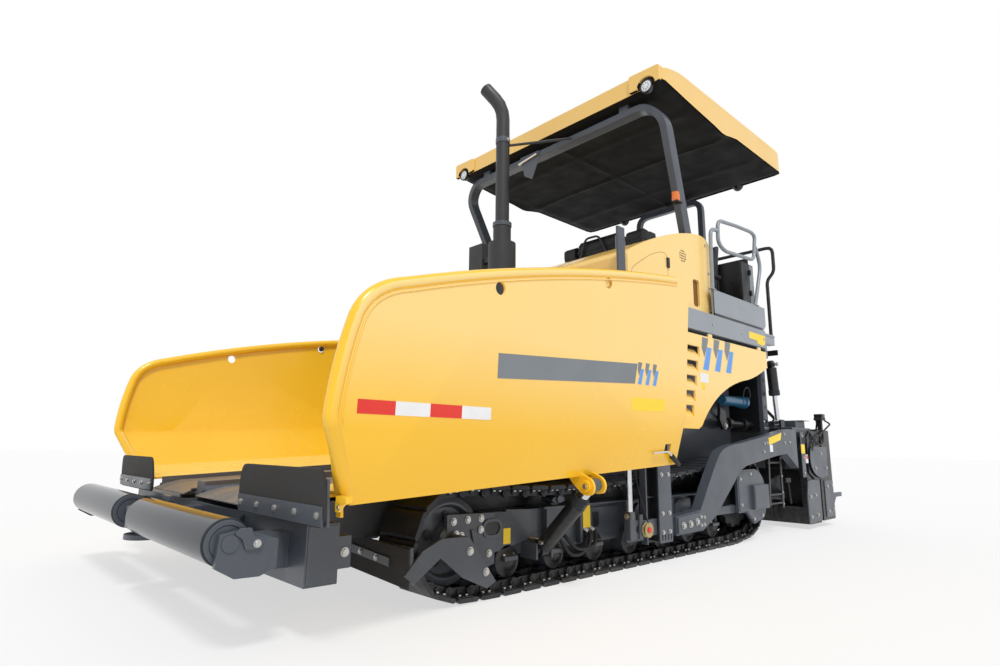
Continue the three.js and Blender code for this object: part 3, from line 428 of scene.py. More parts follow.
class Piece:
    """One shown mesh, gathered from closed solids.

    A name that holds {} is made twice, for the left side and mirrored for the right.
    """

    BEND = math.radians(32)
    DOUBLE = 2e-5
    FLAT = math.radians(0.4)

    def __init__(self, name: str, body: str, finish: Finish, *stands_for: str) -> None:
        """Starts an empty piece.

        Args:
            name: Its name, with {} for the side if there are two.
            body: The body that it rides.
            finish: Its first finish.
            stands_for: The CAD nodes that it replaces.
        """
        self.name = name
        self.body = body
        self.stands_for = stands_for
        self.across: tuple[str, Point, Point] | None = None
        self.finishes = [finish]
        self.current = 0
        self.place = Matrix.Identity(4)
        self.bm = bmesh.new()

    def use(self, finish: Finish) -> "Piece":
        """Gives a finish to the solids made from here on.

        Args:
            finish: The finish.

        Returns:
            The piece.
        """
        if finish not in self.finishes:
            self.finishes.append(finish)
        self.current = self.finishes.index(finish)
        return self

    def take(self, part: bmesh.types.BMesh, edge: float = 0.0, rounds: int = 2) -> None:
        """Bevels a solid's sharp edges, turns its faces out, and adds it to the piece.

        Args:
            part: The solid, which is freed.
            edge: Width of the bevel, or 0 for none.
            rounds: Segments of the bevel.
        """
        bmesh.ops.recalc_face_normals(part, faces=part.faces)
        if edge > 0:
            sharp = [e for e in part.edges if e.is_manifold and e.calc_face_angle() > self.BEND]
            bmesh.ops.bevel(
                part, geom=sharp, offset=edge, offset_type="OFFSET", segments=rounds, profile=0.5,
                affect="EDGES", clamp_overlap=True, material=-1,
            )
        for face in part.faces:
            face.material_index = self.current
        bmesh.ops.transform(part, matrix=self.place, verts=part.verts)
        mesh = bpy.data.meshes.new("part")
        part.to_mesh(mesh)
        part.free()
        self.bm.from_mesh(mesh)
        bpy.data.meshes.remove(mesh)

    def block(self, low: Point, high: Point, edge: float = 0.003) -> "Piece":
        """A box between two corners.

        Args:
            low: Lowest corner.
            high: Highest corner.
            edge: Width of the bevel.

        Returns:
            The piece.
        """
        low, high = Vector(low), Vector(high)
        part = bmesh.new()
        size = Matrix.Diagonal((*(high - low), 1.0))
        bmesh.ops.create_cube(part, size=1.0, matrix=Matrix.Translation((low + high) / 2) @ size)
        self.take(part, edge)
        return self

    def plate(
        self, points: Sequence[Point], axis: Axis, near: float, far: float, edge: float = 0.002,
        holes: Sequence[Sequence[Point]] = (), shape: Callable[[Vector], Vector] | None = None,
        folds: Sequence[tuple[Point, Point]] = (),
    ) -> "Piece":
        """A flat outline thickened along an axis, with holes through it.

        Args:
            points: The outline.
            axis: The way in which it is thickened.
            near: Where it starts along the axis.
            far: Where it ends.
            edge: Width of the bevel.
            holes: Outlines of the holes.
            shape: Moves each finished point, for a plate that isn't flat.
            folds: Planes, each a point and a normal, on which the plate folds.

        Returns:
            The piece.
        """
        part = bmesh.new()
        edges = []
        for ring in (points, *holes):
            corners = [part.verts.new(axis.lift(p, near)) for p in ring]
            edges += [part.edges.new((corners[i - 1], corners[i])) for i in range(len(corners))]
        if holes:
            bmesh.ops.triangle_fill(part, edges=edges, use_beauty=True)
        else:
            bmesh.ops.contextual_create(part, geom=edges)
        made = bmesh.ops.extrude_face_region(part, geom=part.faces[:])
        moved = [v for v in made["geom"] if isinstance(v, bmesh.types.BMVert)]
        bmesh.ops.translate(part, verts=moved, vec=axis.lift((0, 0), far - near))
        for spot, normal in folds:
            whole = part.verts[:] + part.edges[:] + part.faces[:]
            bmesh.ops.bisect_plane(part, geom=whole, dist=1e-6, plane_co=spot, plane_no=normal)
        if shape:
            for corner in part.verts:
                corner.co = shape(corner.co)
        self.take(part, edge)
        return self

    def rod(
        self, start: Point, end: Point, radius: float, far_radius: float | None = None, sides: int = 24,
        edge: float = 0.001,
    ) -> "Piece":
        """A round bar or cone between two points.

        Args:
            start: Middle of its first end.
            end: Middle of its last end.
            radius: Radius at the start.
            far_radius: Radius at the end, if it differs.
            sides: Sides round it.
            edge: Width of the bevel.

        Returns:
            The piece.
        """
        start, end = Vector(start), Vector(end)
        part = bmesh.new()
        place = Matrix.Translation((start + end) / 2) @ toward(end - start)
        bmesh.ops.create_cone(
            part, cap_ends=True, segments=sides, radius1=radius, depth=(end - start).length, matrix=place,
            radius2=radius if far_radius is None else far_radius,
        )
        self.take(part, edge)
        return self

    def lathe(self, start: Point, end: Point, profile: Sequence[Point], steps: int = 40) -> "Piece":
        """A turned solid about the line between two points.

        Args:
            start: Where the profile's distances start.
            end: A point that gives the axis its way.
            profile: Pairs of distance and radius; both its ends lie on the axis.
            steps: Sides round it.

        Returns:
            The piece.
        """
        start, end = Vector(start), Vector(end)
        part = bmesh.new()
        line = [part.verts.new((r, 0.0, d)) for d, r in profile]
        edges = [part.edges.new(pair) for pair in zip(line, line[1:])]
        bmesh.ops.spin(
            part, geom=line + edges, cent=(0, 0, 0), axis=UP, angle=math.tau, steps=steps, use_merge=True,
        )
        bmesh.ops.remove_doubles(part, verts=part.verts, dist=1e-6)
        bmesh.ops.transform(part, matrix=Matrix.Translation(start) @ toward(end - start), verts=part.verts)
        self.take(part)
        return self

    def ring(
        self, start: Point, end: Point, outer: float, inner: float, steps: int = 32, edge: float = 0.001,
    ) -> "Piece":
        """A tube with a wall, between two points.

        Args:
            start: Middle of its first end.
            end: Middle of its last end.
            outer: Outer radius.
            inner: Inner radius.
            steps: Sides round it.
            edge: Width of the bevel.

        Returns:
            The piece.
        """
        start, end = Vector(start), Vector(end)
        length = (end - start).length
        part = bmesh.new()
        corners = [(inner, 0.0), (outer, 0.0), (outer, length), (inner, length)]
        loop = [part.verts.new((r, 0.0, d)) for r, d in corners]
        edges = [part.edges.new((loop[i - 1], loop[i])) for i in range(4)]
        bmesh.ops.spin(
            part, geom=loop + edges, cent=(0, 0, 0), axis=UP, angle=math.tau, steps=steps, use_merge=True,
        )
        bmesh.ops.transform(part, matrix=Matrix.Translation(start) @ toward(end - start), verts=part.verts)
        self.take(part, edge)
        return self

    def sweep(
        self, path: Sequence[Point], section: Sequence[Point], side: Point | None = None, edge: float = 0.0,
    ) -> "Piece":
        """A section drawn along a path and closed at both ends.

        Args:
            path: Points of the path.
            section: Outline of the section, about the path.
            side: The way in which the section's first direction points at the start.
            edge: Width of the bevel.

        Returns:
            The piece.
        """
        line = [Vector(p) for p in path]
        heading = (line[1] - line[0]).normalized()
        aside = Vector(side) if side else heading.orthogonal()
        aside = (aside - heading * aside.dot(heading)).normalized()
        across = heading.cross(aside)
        part = bmesh.new()
        ring = [part.verts.new(line[0] + aside * a + across * b) for a, b in section]
        edges = [part.edges.new((ring[i - 1], ring[i])) for i in range(len(ring))]
        bmesh.ops.contextual_create(part, geom=edges)
        for i in range(1, len(line)):
            made = bmesh.ops.extrude_edge_only(part, edges=edges)["geom"]
            ring = [g for g in made if isinstance(g, bmesh.types.BMVert)]
            edges = [
                g for g in made if isinstance(g, bmesh.types.BMEdge) and all(v in ring for v in g.verts)
            ]
            bmesh.ops.translate(part, verts=ring, vec=line[i] - line[i - 1])
            ahead = (line[min(i + 1, len(line) - 1)] - line[i - 1 if i == len(line) - 1 else i]).normalized()
            before = (line[i] - line[i - 1]).normalized()
            mean = (before + ahead).normalized() if i < len(line) - 1 else before
            turn = heading.rotation_difference(mean).to_matrix()
            bmesh.ops.rotate(part, verts=ring, cent=line[i], matrix=turn)
            heading = mean
        bmesh.ops.contextual_create(part, geom=edges)
        self.take(part, edge)
        return self

    def pipe(
        self, path: Sequence[Point], radius: float, bend: float = 0.06, sides: int = 12, steps: int = 5,
    ) -> "Piece":
        """A round tube along a path with rounded corners.

        Args:
            path: Corners of its centre line.
            radius: The tube's radius.
            bend: Radius at the corners.
            sides: How many faces it has around.
            steps: How many pieces each bend has.

        Returns:
            The piece.
        """
        section = arc((0, 0), radius, 0, 360 - 360 / sides, sides - 1)
        return self.sweep(eased(path, bend, steps) if bend else path, section)

    def bolt(self, at: Point, way: Point, size: float = 0.012) -> "Piece":
        """A hexagon bolt head on a washer.

        Args:
            at: Where it stands.
            way: The way it points.
            size: Half the head's width.

        Returns:
            The piece.
        """
        way = Vector(way).normalized()
        spot = Vector(at)
        washer, head = 0.25, 0.65
        self.rod(spot, spot + way * size * washer, size * 1.45, sides=16, edge=0.0)
        self.rod(spot, spot + way * size * (washer + head), size * 1.12, sides=6, edge=size * 0.12)
        return self

    def bolts(self, spots: Iterable[Point], way: Point, size: float = 0.012) -> "Piece":
        """Several like bolts."""
        for spot in spots:
            self.bolt(spot, way, size)
        return self

    def paint(self, finish: Finish, test: Callable[[Vector, Vector], bool]) -> "Piece":
        """Gives a finish to some of the faces made so far.

        Args:
            finish: The finish.
            test: Says of a face's middle and outward direction whether it takes the finish.

        Returns:
            The piece.
        """
        self.use(finish)
        self.bm.normal_update()
        for face in self.bm.faces:
            if test(face.calc_center_median(), face.normal):
                face.material_index = self.current
        return self

    def copy_node(self, node: str, edge: float = 0.002) -> "Piece":
        """Adds a copy of a CAD node with its doubles merged.

        Args:
            node: The node's name.
            edge: Width of the bevel on its sharp edges.

        Returns:
            The piece.
        """
        part = bmesh.new()
        part.from_mesh(frame["nodes"][node].data)
        bmesh.ops.remove_doubles(part, verts=part.verts, dist=self.DOUBLE)
        bmesh.ops.dissolve_limit(part, angle_limit=self.FLAT, verts=part.verts, edges=part.edges)
        self.take(part, edge)
        return self

    @classmethod
    def copied(cls, name: str, body: str, finish: Finish, node: str, edge: float) -> "Piece":
        """Starts a piece with a copy of the CAD node that it stands for, the left one of a pair.

        Args:
            name: Its name, with {} for the side if there are two.
            body: The body that it rides.
            finish: Its finish.
            node: The node, with {} for the side if there are two.
            edge: Width of the bevel on its sharp edges.

        Returns:
            The piece.
        """
        return cls(name, body, finish, node).copy_node(node.format("left"), edge)

    def close(self) -> list[bpy.types.Object]:
        """Makes the objects, gives them their finishes and puts them on their bodies.

        Returns:
            One object, or a left and a right one.
        """
        sides = SIDES if "{}" in self.name else ("",)
        made = []
        for side in sides:
            if side == "right":
                bmesh.ops.transform(self.bm, matrix=Matrix.Scale(-1, 4, LEFT), verts=self.bm.verts)
                bmesh.ops.reverse_faces(self.bm, faces=self.bm.faces)
            mesh = bpy.data.meshes.new(self.name.format(side))
            self.bm.to_mesh(mesh)
            for finish in self.finishes:
                mesh.materials.append(finish.material())
            mesh.polygons.foreach_set("use_smooth", [True] * len(mesh.polygons))
            mesh.set_sharp_from_angle(angle=self.BEND)
            piece = bpy.data.objects.new(self.name.format(side), mesh)
            bpy.context.scene.collection.objects.link(piece)
            weights = piece.modifiers.new("even_normals", "WEIGHTED_NORMAL")
            weights.keep_sharp = True
            if self.across:
                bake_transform(piece)
            else:
                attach(piece, self.body.format(side))
            if self.stands_for:
                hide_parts(*(node.format(side) for node in self.stands_for))
            LOG.info("%s: %d faces on %s", piece.name, len(mesh.polygons), self.body.format(side))
            made.append(piece)
        self.bm.free()
        return made


# -------------------- stage
@dataclass(frozen=True)
class Stage:
    """Camera, lights and floor."""

    eye: Triple = (3.912, 3.494, 0.74)
    heading: float = 226.687
    pitch: float = 10.683
    roll: float = 0.531
    lens: float = 21.64
    floor_half: float = 60.0
    sun_power: float = 1.75
    sun_angle: float = 12.0
    sun_from: Triple = (0.35, 0.62, 1.0)
    sky_power: float = 0.62
    floor_shade: float = 0.86
    floor_glow: float = 0.62

    def camera(self) -> None:
        """Sets the camera low at the front left corner, looking slightly up."""
        data = bpy.data.cameras.new("camera")
        data.lens = self.lens
        data.clip_end = 200
        heading, pitch, roll = (math.radians(a) for a in (self.heading, self.pitch, self.roll))
        ahead = Vector((
            math.cos(pitch) * math.cos(heading), math.cos(pitch) * math.sin(heading), math.sin(pitch),
        ))
        right = ahead.cross(Vector(UP)).normalized()
        up = right.cross(ahead)
        level = math.cos(roll) * right + math.sin(roll) * up
        top = math.cos(roll) * up - math.sin(roll) * right
        camera = bpy.data.objects.new("camera", data)
        camera.matrix_world = Matrix.Translation(self.eye) @ Matrix((
            level, top, -ahead,
        )).transposed().to_4x4()
        bpy.context.scene.collection.objects.link(camera)
        bpy.context.scene.camera = camera

    def lights(self) -> None:
        """One broad sun from the front left, and an even pale surround."""
        data = bpy.data.lights.new("sun", "SUN")
        data.energy = self.sun_power
        data.angle = math.radians(self.sun_angle)
        sun = bpy.data.objects.new("sun", data)
        sun.rotation_euler = toward(Vector(self.sun_from)).to_euler()
        bpy.context.scene.collection.objects.link(sun)
        world = bpy.data.worlds.new("surround")
        bpy.context.scene.world = world
        world.use_nodes = True
        tree = world.node_tree
        back = tree.nodes["Background"]
        seen = self.seen_directly(tree)
        strength = tree.nodes.new("ShaderNodeMapRange")
        tree.links.new(seen, strength.inputs[0])
        strength.inputs[3].default_value = self.sky_power
        strength.inputs[4].default_value = 1.0
        tree.links.new(strength.outputs[0], back.inputs["Strength"])
        back.inputs["Color"].default_value = (1, 1, 1, 1)

    @staticmethod
    def seen_directly(tree: Tree) -> Socket:
        """1 for camera, glossy and transmission rays."""
        rays = tree.nodes.new("ShaderNodeLightPath")
        total = rays.outputs["Is Camera Ray"]
        for name in ("Is Glossy Ray", "Is Transmission Ray"):
            most = tree.nodes.new("ShaderNodeMath")
            most.operation = "MAXIMUM"
            tree.links.new(total, most.inputs[0])
            tree.links.new(rays.outputs[name], most.inputs[1])
            total = most.outputs[0]
        return total

    def floor(self) -> None:
        """A pale floor that keeps the machine's shadow."""
        part = bmesh.new()
        bmesh.ops.create_grid(part, x_segments=1, y_segments=1, size=self.floor_half)
        mesh = bpy.data.meshes.new("floor")
        part.to_mesh(mesh)
        part.free()
        floor = bpy.data.objects.new("floor", mesh)
        bpy.context.scene.collection.objects.link(floor)
        material = bpy.data.materials.new("pale_floor")
        material.use_nodes = True
        tree = material.node_tree
        matt = tree.nodes["Principled BSDF"]
        matt.inputs["Base Color"].default_value = (*[self.floor_shade] * 3, 1)
        matt.inputs["Roughness"].default_value = 0.9
        glow = tree.nodes.new("ShaderNodeEmission")
        mix = tree.nodes.new("ShaderNodeMixShader")
        share = tree.nodes.new("ShaderNodeMapRange")
        tree.links.new(self.seen_directly(tree), share.inputs[0])
        share.inputs[4].default_value = self.floor_glow
        tree.links.new(share.outputs[0], mix.inputs[0])
        tree.links.new(matt.outputs[0], mix.inputs[1])
        tree.links.new(glow.outputs[0], mix.inputs[2])
        tree.links.new(mix.outputs[0], tree.nodes["Material Output"].inputs["Surface"])
        mesh.materials.append(material)

    def build(self) -> None:
        """Makes the camera, the lights and the floor."""
        self.camera()
        self.lights()
        self.floor()
        bpy.context.scene.view_settings.view_transform = "Standard"


# -------------------- hopper
def mark_strokes(piece: Piece, axis: Axis, depth: float, corner: Callable[[float, float], Point],
                 shape: Callable[[Vector], Vector] | None = None) -> None:
    """Three slanting grey and blue strokes.

    Args:
        piece: The piece that takes them.
        axis: The way in which they are thickened.
        depth: Where they start along it.
        corner: Turns a share of the mark's width and height into a place.
        shape: Moves each finished point, for a skin that isn't flat.
    """
    for i in range(3):
        grey = [(0.0, 0.67), (0.09, 1.0), (0.6, 0.98), (0.42, 0.66), (0.19, 0.39)]
        blue = [(0.02, 0.02), (0.49, 0.0), (0.84, 0.7), (0.47, 0.71)]
        for finish, outline in ((STRIPE, grey), (BLUE, blue)):
            points = [corner((i + a) / 3, b) for a, b in outline]
            piece.use(finish).plate(points, axis, depth, depth + FILM, 0.0, shape=shape)


@dataclass
class Hopper:
    """The two folding wings, their flaps, the floor between them and the cylinders under them."""

    skin: float = 0.012
    roll: float = 0.028
    hinge_y: float = 0.75
    floor_front: float = -0.05
    floor_rear: float = -2.03
    rear: float = -2.3
    flap_back: float = 0.02
    ram_u: float = -1.432
    ram_foot: Pair = (1.15, -0.396)
    ram_eye: Pair = (1.53, -0.036)
    ram_length: float = 0.43
    hinge_sleeves: int = 9
    slats: int = 18
    slats_end: float = -4.3
    fold: tuple[Point, Point] = ((0, 0, 0.31), UP)

    def __post_init__(self) -> None:
        """Reads the sloping hinge line from the record."""
        joint = JOINTS["wing_fold_left"]
        cosine, _, sine = Vector(joint["axis"]).normalized()
        x, _, z = joint["pos_m"]
        self.place = Matrix(((cosine, 0, -sine, x), (0, 1, 0, 0), (sine, 0, cosine, z), (0, 0, 0, 1)))
        self.back = self.place.inverted()

    def local(self, x: float, z: float) -> Pair:
        """A point of the machine's side view, along and above the hinge line."""
        at = self.back @ Vector((x, 0, z))
        return at.x, at.z

    @staticmethod
    def outer(w: float) -> float:
        """Where the wing's outer skin is at a height above the hinge line."""
        return 1.589 + (w - 0.31) * 0.0573 if w > 0.31 else 1.492 + (w - 0.01) * 0.3233

    def lean(self, co: Vector) -> Vector:
        """Moves a flat point onto the leaning skin."""
        return Vector((co.x, self.outer(co.z) + co.y, co.z))

    @staticmethod
    def edge_line(inset: float) -> list[Pair]:
        """The wing's front and top edge.

        Args:
            inset: How far it is moved inwards.

        Returns:
            The edge's points, from the foot to the rear.
        """
        line = [(-0.048, 0.01), (0.083, 0.316), *bow((0.083, 0.316), (0.06, 0.52), (-0.005, 0.7), 6)[1:],
                *bow((-0.005, 0.7), (-0.06, 0.83), (-0.24, 0.862), 8)[1:],
                *bow((-0.24, 0.862), (-1.18, 1.1), (-2.367, 1.165), 16)[1:]]
        line = [line[0], *(tuple(p) for p in eased(line[:3], 0.05, 4)[1:-1]), *line[2:]]
        moved = []
        for i, (u, w) in enumerate(line):
            ahead, behind = line[min(i + 1, len(line) - 1)], line[max(i - 1, 0)]
            along = Vector((ahead[0] - behind[0], ahead[1] - behind[1])).normalized()
            moved.append((u - along.y * inset, w + along.x * inset if i else w))
        return moved

    def shell(self) -> None:
        """The wing's leaning side with its rolled edge, sloping foot, floor, hinge and cylinder plates."""
        wing = Piece("hopper_wing_shell_{}", "hopper_wing_{}", YELLOW, "hopper_wing_{}")
        wing.place = self.place
        side = [*self.edge_line(0.024), (self.rear, 0.316), (self.rear, 0.012)]
        holes = [arc(at, 0.03, 0, 342, 19) for at in ((-0.732, 0.8785), (-1.527, 1.0148))]
        holes.append(oblong(-2.2, -2.135, 0.085, 0.14))
        wing.plate(side, Axis.Y, -self.skin, 0.0, 0.0015, holes, self.lean, [self.fold])
        run = [(u, self.outer(w) - self.roll + 0.009, w) for u, w in self.edge_line(self.roll)]
        run[0] = (run[0][0], run[0][1], 0.03)
        wing.pipe(run[:-1], self.roll, bend=0, sides=20)
        seam = [(u, self.outer(w) + 0.001, w) for u, w in self.edge_line(self.roll * 2 + 0.004)][1:-1]
        wing.pipe(seam, 0.0035, bend=0, sides=6)
        foot = [(0.784, 0.008), (0.905, 0.026), (1.44, 0.04), (1.452, 0.012), (1.482, 0.012), (1.576, 0.306),
                (1.566, 0.306), (1.556, 0.262), (1.448, 0.062), (0.905, 0.038), (0.784, 0.02)]
        wing.plate(foot, Axis.X, self.floor_rear, -0.056, 0.001,
                   shape=lambda co: co + Vector((0.427 * max(co.z, 0) if co.x > -1 else 0, 0, 0)))
        lip = [(0.784, 0.008), (0.905, 0.026), (1.44, 0.04), (1.44, 0.05), (0.905, 0.037), (0.784, 0.019)]
        wing.plate(lip, Axis.X, -0.058, self.flap_back - 0.0005, 0.0)
        wing.block((self.floor_rear + 0.06, self.hinge_y + 0.01, 0.003), (-0.11, self.hinge_y + 0.06, 0.014))
        gusset = [(0.905, 0.03), (1.452, 0.055), (1.57, 0.265), (1.584, 0.4), (1.55, 0.42)]
        wing.plate(gusset, Axis.X, self.floor_rear, self.floor_rear + self.skin)
        wing.block((-0.048, 1.452, -0.03), (-0.036, 1.486, 0.016), 0.002)
        wing.block((-0.036, 1.496, 0.026), (-0.01, 1.572, 0.05), 0.003)
        wing.plate(
            [(1.49, 0.03), (1.562, 0.03), (1.51, -0.006), (1.49, -0.006)], Axis.X, -0.022, -0.012, 0.001,
        )
        wing.use(BOLT).bolt((-0.012, 1.518, 0.012), FRONT, 0.007).use(YELLOW)
        self.eye_plates(wing)
        u, w = -1.527, 1.0148
        wing.use(PLASTIC).rod(
            (u, self.outer(w) - 0.03, w), (u, self.outer(w) - 0.01, w), 0.024, sides=6, edge=0.003,
        )
        # Painted highlight: the skin's outward faces turn paler towards the top.
        wing.paint(PAINTED_HIGHLIGHT_YELLOW, lambda at, way: way.y > 0.93 and at.y > 1.47)
        # Up-facing faces of the sloping foot and floor: pale paint as painted highlight, with streaky
        # scuffs.
        wing.paint(SCUFFED_HIGHLIT_YELLOW, lambda at, way: way.z > 0.4 and at.y < 1.5 and at.z < 0.9)
        wing.close()

    def eye_plates(self, wing: Piece) -> None:
        """Two plates that take the cylinder's rod, with a boss on each.

        Args:
            wing: The wing that they hang from.
        """
        y, w = self.ram_eye
        outline = eased([
            (1.4, 0.034), (1.425, -0.012), (y - 0.04, w - 0.034), (y - 0.014, w - 0.048),
            (y + 0.034, w - 0.044), (y + 0.05, w - 0.004), (y + 0.034, w + 0.034), (1.49, 0.03),
        ], 0.022, 4, closed=True)
        for sign in (-1, 1):
            middle = self.ram_u + sign * 0.046
            wing.plate(outline, Axis.X, middle - 0.008, middle + 0.008)
            wing.rod((middle + sign * 0.008, y, w), (middle + sign * 0.02, y, w), 0.03, sides=28, edge=0.003)
            wing.use(BOLT).bolt((middle + sign * 0.02, y, w), (sign, 0, 0), 0.01).use(YELLOW)

    def hinge(self) -> None:
        """The wing's hinge rod with its sleeves."""
        rod = Piece("hopper_hinge_{}", "hopper_wing_{}", STEEL)
        rod.place = self.place
        start, end = self.floor_front - 0.06, self.floor_rear + 0.06
        rod.rod((start, self.hinge_y, 0), (end, self.hinge_y, 0), 0.018)
        pitch = (start - end) / self.hinge_sleeves
        for i in range(self.hinge_sleeves):
            at = start - pitch * i
            rod.lathe((at - 0.006, self.hinge_y, 0), (at - pitch + 0.006, self.hinge_y, 0), [
                (0, 0), (0, 0.02), (0.003, 0.0215), (pitch - 0.015, 0.0215), (pitch - 0.012, 0.02),
                (pitch - 0.012, 0),
            ], 20)
        rod.close()

    def trim(self) -> None:
        """Tape, stripe, strokes, blank plate and the rear latch."""
        trim = Piece("hopper_wing_trim_{}", "hopper_wing_{}", STRIPE)
        trim.place = self.place
        film = 0.0009

        def patch(finish: Finish, corners: Sequence[Point]) -> None:
            """A thin film on the leaning skin, its corners given in the machine's side view."""
            points = [self.local(*c) for c in corners]
            trim.use(finish).plate(points, Axis.Y, 0.0, film, 0.0, shape=self.lean, folds=[self.fold])

        patch(STRIPE, [(2.138, 1.03), (1.1, 1.087), (1.077, 1.199), (2.138, 1.14)])
        length = 0.161
        for i, finish in enumerate((RED, WHITE, RED, WHITE)):
            front = 2.81 - i * length
            patch(finish, [(front, 0.85), (front - length, 0.85), (front - length, 0.902), (front, 0.902)])
        patch(LABEL, [(1.127, 0.94), (0.796, 0.946), (0.796, 1.016), (1.127, 1.01)])
        mark_strokes(
            trim, Axis.Y, 0.0, lambda a, b: self.local(1.075 - 0.225 * a, 1.085 + 0.004 * a + 0.125 * b),
            self.lean,
        )
        u, w = -2.168, 0.108
        y = self.outer(w)
        trim.use(BLACK).block((u - 0.034, y - 0.03, w - 0.028), (u + 0.034, y - 0.02, w + 0.034), 0.002)
        trim.use(CHROME).pipe([
            (u + 0.17, y + 0.01, w - 0.012), (u + 0.01, y + 0.012, w - 0.012),
            (u - 0.04, y + 0.006, w - 0.045),
        ], 0.006, 0.02)
        trim.use(PLASTIC).rod(
            (u - 0.035, y + 0.006, w - 0.042), (u - 0.125, y - 0.004, w - 0.1), 0.016, 0.013, edge=0.004,
        )
        trim.close()

    def flap(self) -> None:
        """Rubber flap across the wing's front, clamped by a bolted steel strip."""
        flap = Piece("hopper_flap_rubber_{}", "hopper_wing_{}", RUBBER, "hopper_flap_{}")
        flap.place = self.place
        face = eased(
            [(0.7, -0.06), (1.495, -0.06), (1.495, 0.07), (1.478, 0.146), (0.735, 0.146), (0.702, 0.06)],
            0.05, 5, True,
        )
        flap.plate(face, Axis.X, self.flap_back, self.flap_back + 0.011, 0.002)
        flap.use(STEEL).plate(
            oblong(0.712, 1.486, -0.054, 0.016, 0.006), Axis.X, self.flap_back + 0.011,
            self.flap_back + 0.018, 0.001,
        )
        flap.block((self.flap_back - 0.011, 1.47, -0.058), (self.flap_back, 1.494, 0.11), 0.002)
        spots = [(self.flap_back + 0.018, 0.745 + 0.177 * i, -0.016) for i in range(5)]
        flap.use(BOLT).bolts(spots, FRONT, 0.01)
        flap.close()

    def floor(self) -> None:
        """Conveyor floor: worn cover plates, slats on their chains, and the centre rail."""
        floor = Piece.copied("conveyor_floor", "chassis", WORN, "hopper_floor", 0.0)
        floor.place = self.place
        for side in (-1, 1):
            for i in range(self.slats):
                at = self.floor_front - 0.06 - (self.floor_front - self.slats_end) * i / self.slats
                low, high = sorted((side * 0.075, side * 0.7))
                floor.use(TRACK).block((at - 0.025, low, -0.027), (at + 0.025, high, -0.008), 0.003)
                for y in (0.09, 0.685):
                    floor.rod((at - 0.11, side * y, -0.018), (at + 0.1, side * y, -0.018), 0.008, sides=8)
            low, high = sorted((side * 0.1, side * 0.685))
            cover = [
                (-0.9, 0.001), (-0.12, 0.001), (-0.035, -0.012), (0.026, -0.034), (0.024, -0.04),
                (-0.038, -0.02), (-0.12, -0.007), (-0.9, -0.007),
            ]
            floor.use(WORN).plate(cover, Axis.Y, low, high, 0.001)
        floor.use(STEEL).plate(
            [(-0.095, -0.05), (0.095, -0.05), (0.06, 0.008), (-0.06, 0.008)], Axis.X, self.floor_front - 0.5,
            self.floor_front + 0.019,
        )
        floor.close()

    def ram(self) -> None:
        """The wing cylinder: painted barrel with a bright gland, and its chromed rod."""
        foot, eye = Vector((self.ram_u, *self.ram_foot)), Vector((self.ram_u, *self.ram_eye))
        way = (eye - foot).normalized()
        barrel = Piece("wing_cylinder_barrel_{}", "wing_cylinder_{}", BLACK, "wing_cylinder_{}")
        barrel.place = self.place
        reach = self.ram_length
        barrel.lathe(foot + way * 0.03, eye, [
            (0, 0), (0, 0.034), (0.006, 0.045), (reach - 0.13, 0.045), (reach - 0.125, 0.0465),
            (reach - 0.09, 0.0465), (reach - 0.085, 0.045), (reach - 0.085, 0),
        ], 36)
        barrel.use(ROLLER).lathe(
            foot + way * (reach - 0.056), eye,
            [(0, 0), (0, 0.043), (0.046, 0.043), (0.054, 0.037), (0.054, 0)], 36,
        )
        half = Vector((0.028, 0, 0))
        barrel.use(BLACK).ring(foot - half, foot + half, 0.04, 0.0207)
        barrel.use(BOLT).rod(
            foot + way * 0.07 + Vector((0.04, 0, 0)), foot + way * 0.07 + Vector((0.062, 0, 0)), 0.013,
            sides=6,
        )
        barrel.close()
        rod = Piece("wing_rod_chrome_{}", "wing_rod_{}", CHROME, "wing_rod_{}")
        rod.place = self.place
        length = (eye - foot).length
        rod.rod(foot + way * 0.07, foot + way * (length - 0.028), 0.024, sides=36)
        rod.use(STEEL).ring(eye - half, eye + half, 0.034, 0.0215)
        rod.close()

    def build(self) -> None:
        """Makes the whole hopper."""
        self.shell()
        self.hinge()
        self.trim()
        self.flap()
        self.floor()
        self.ram()


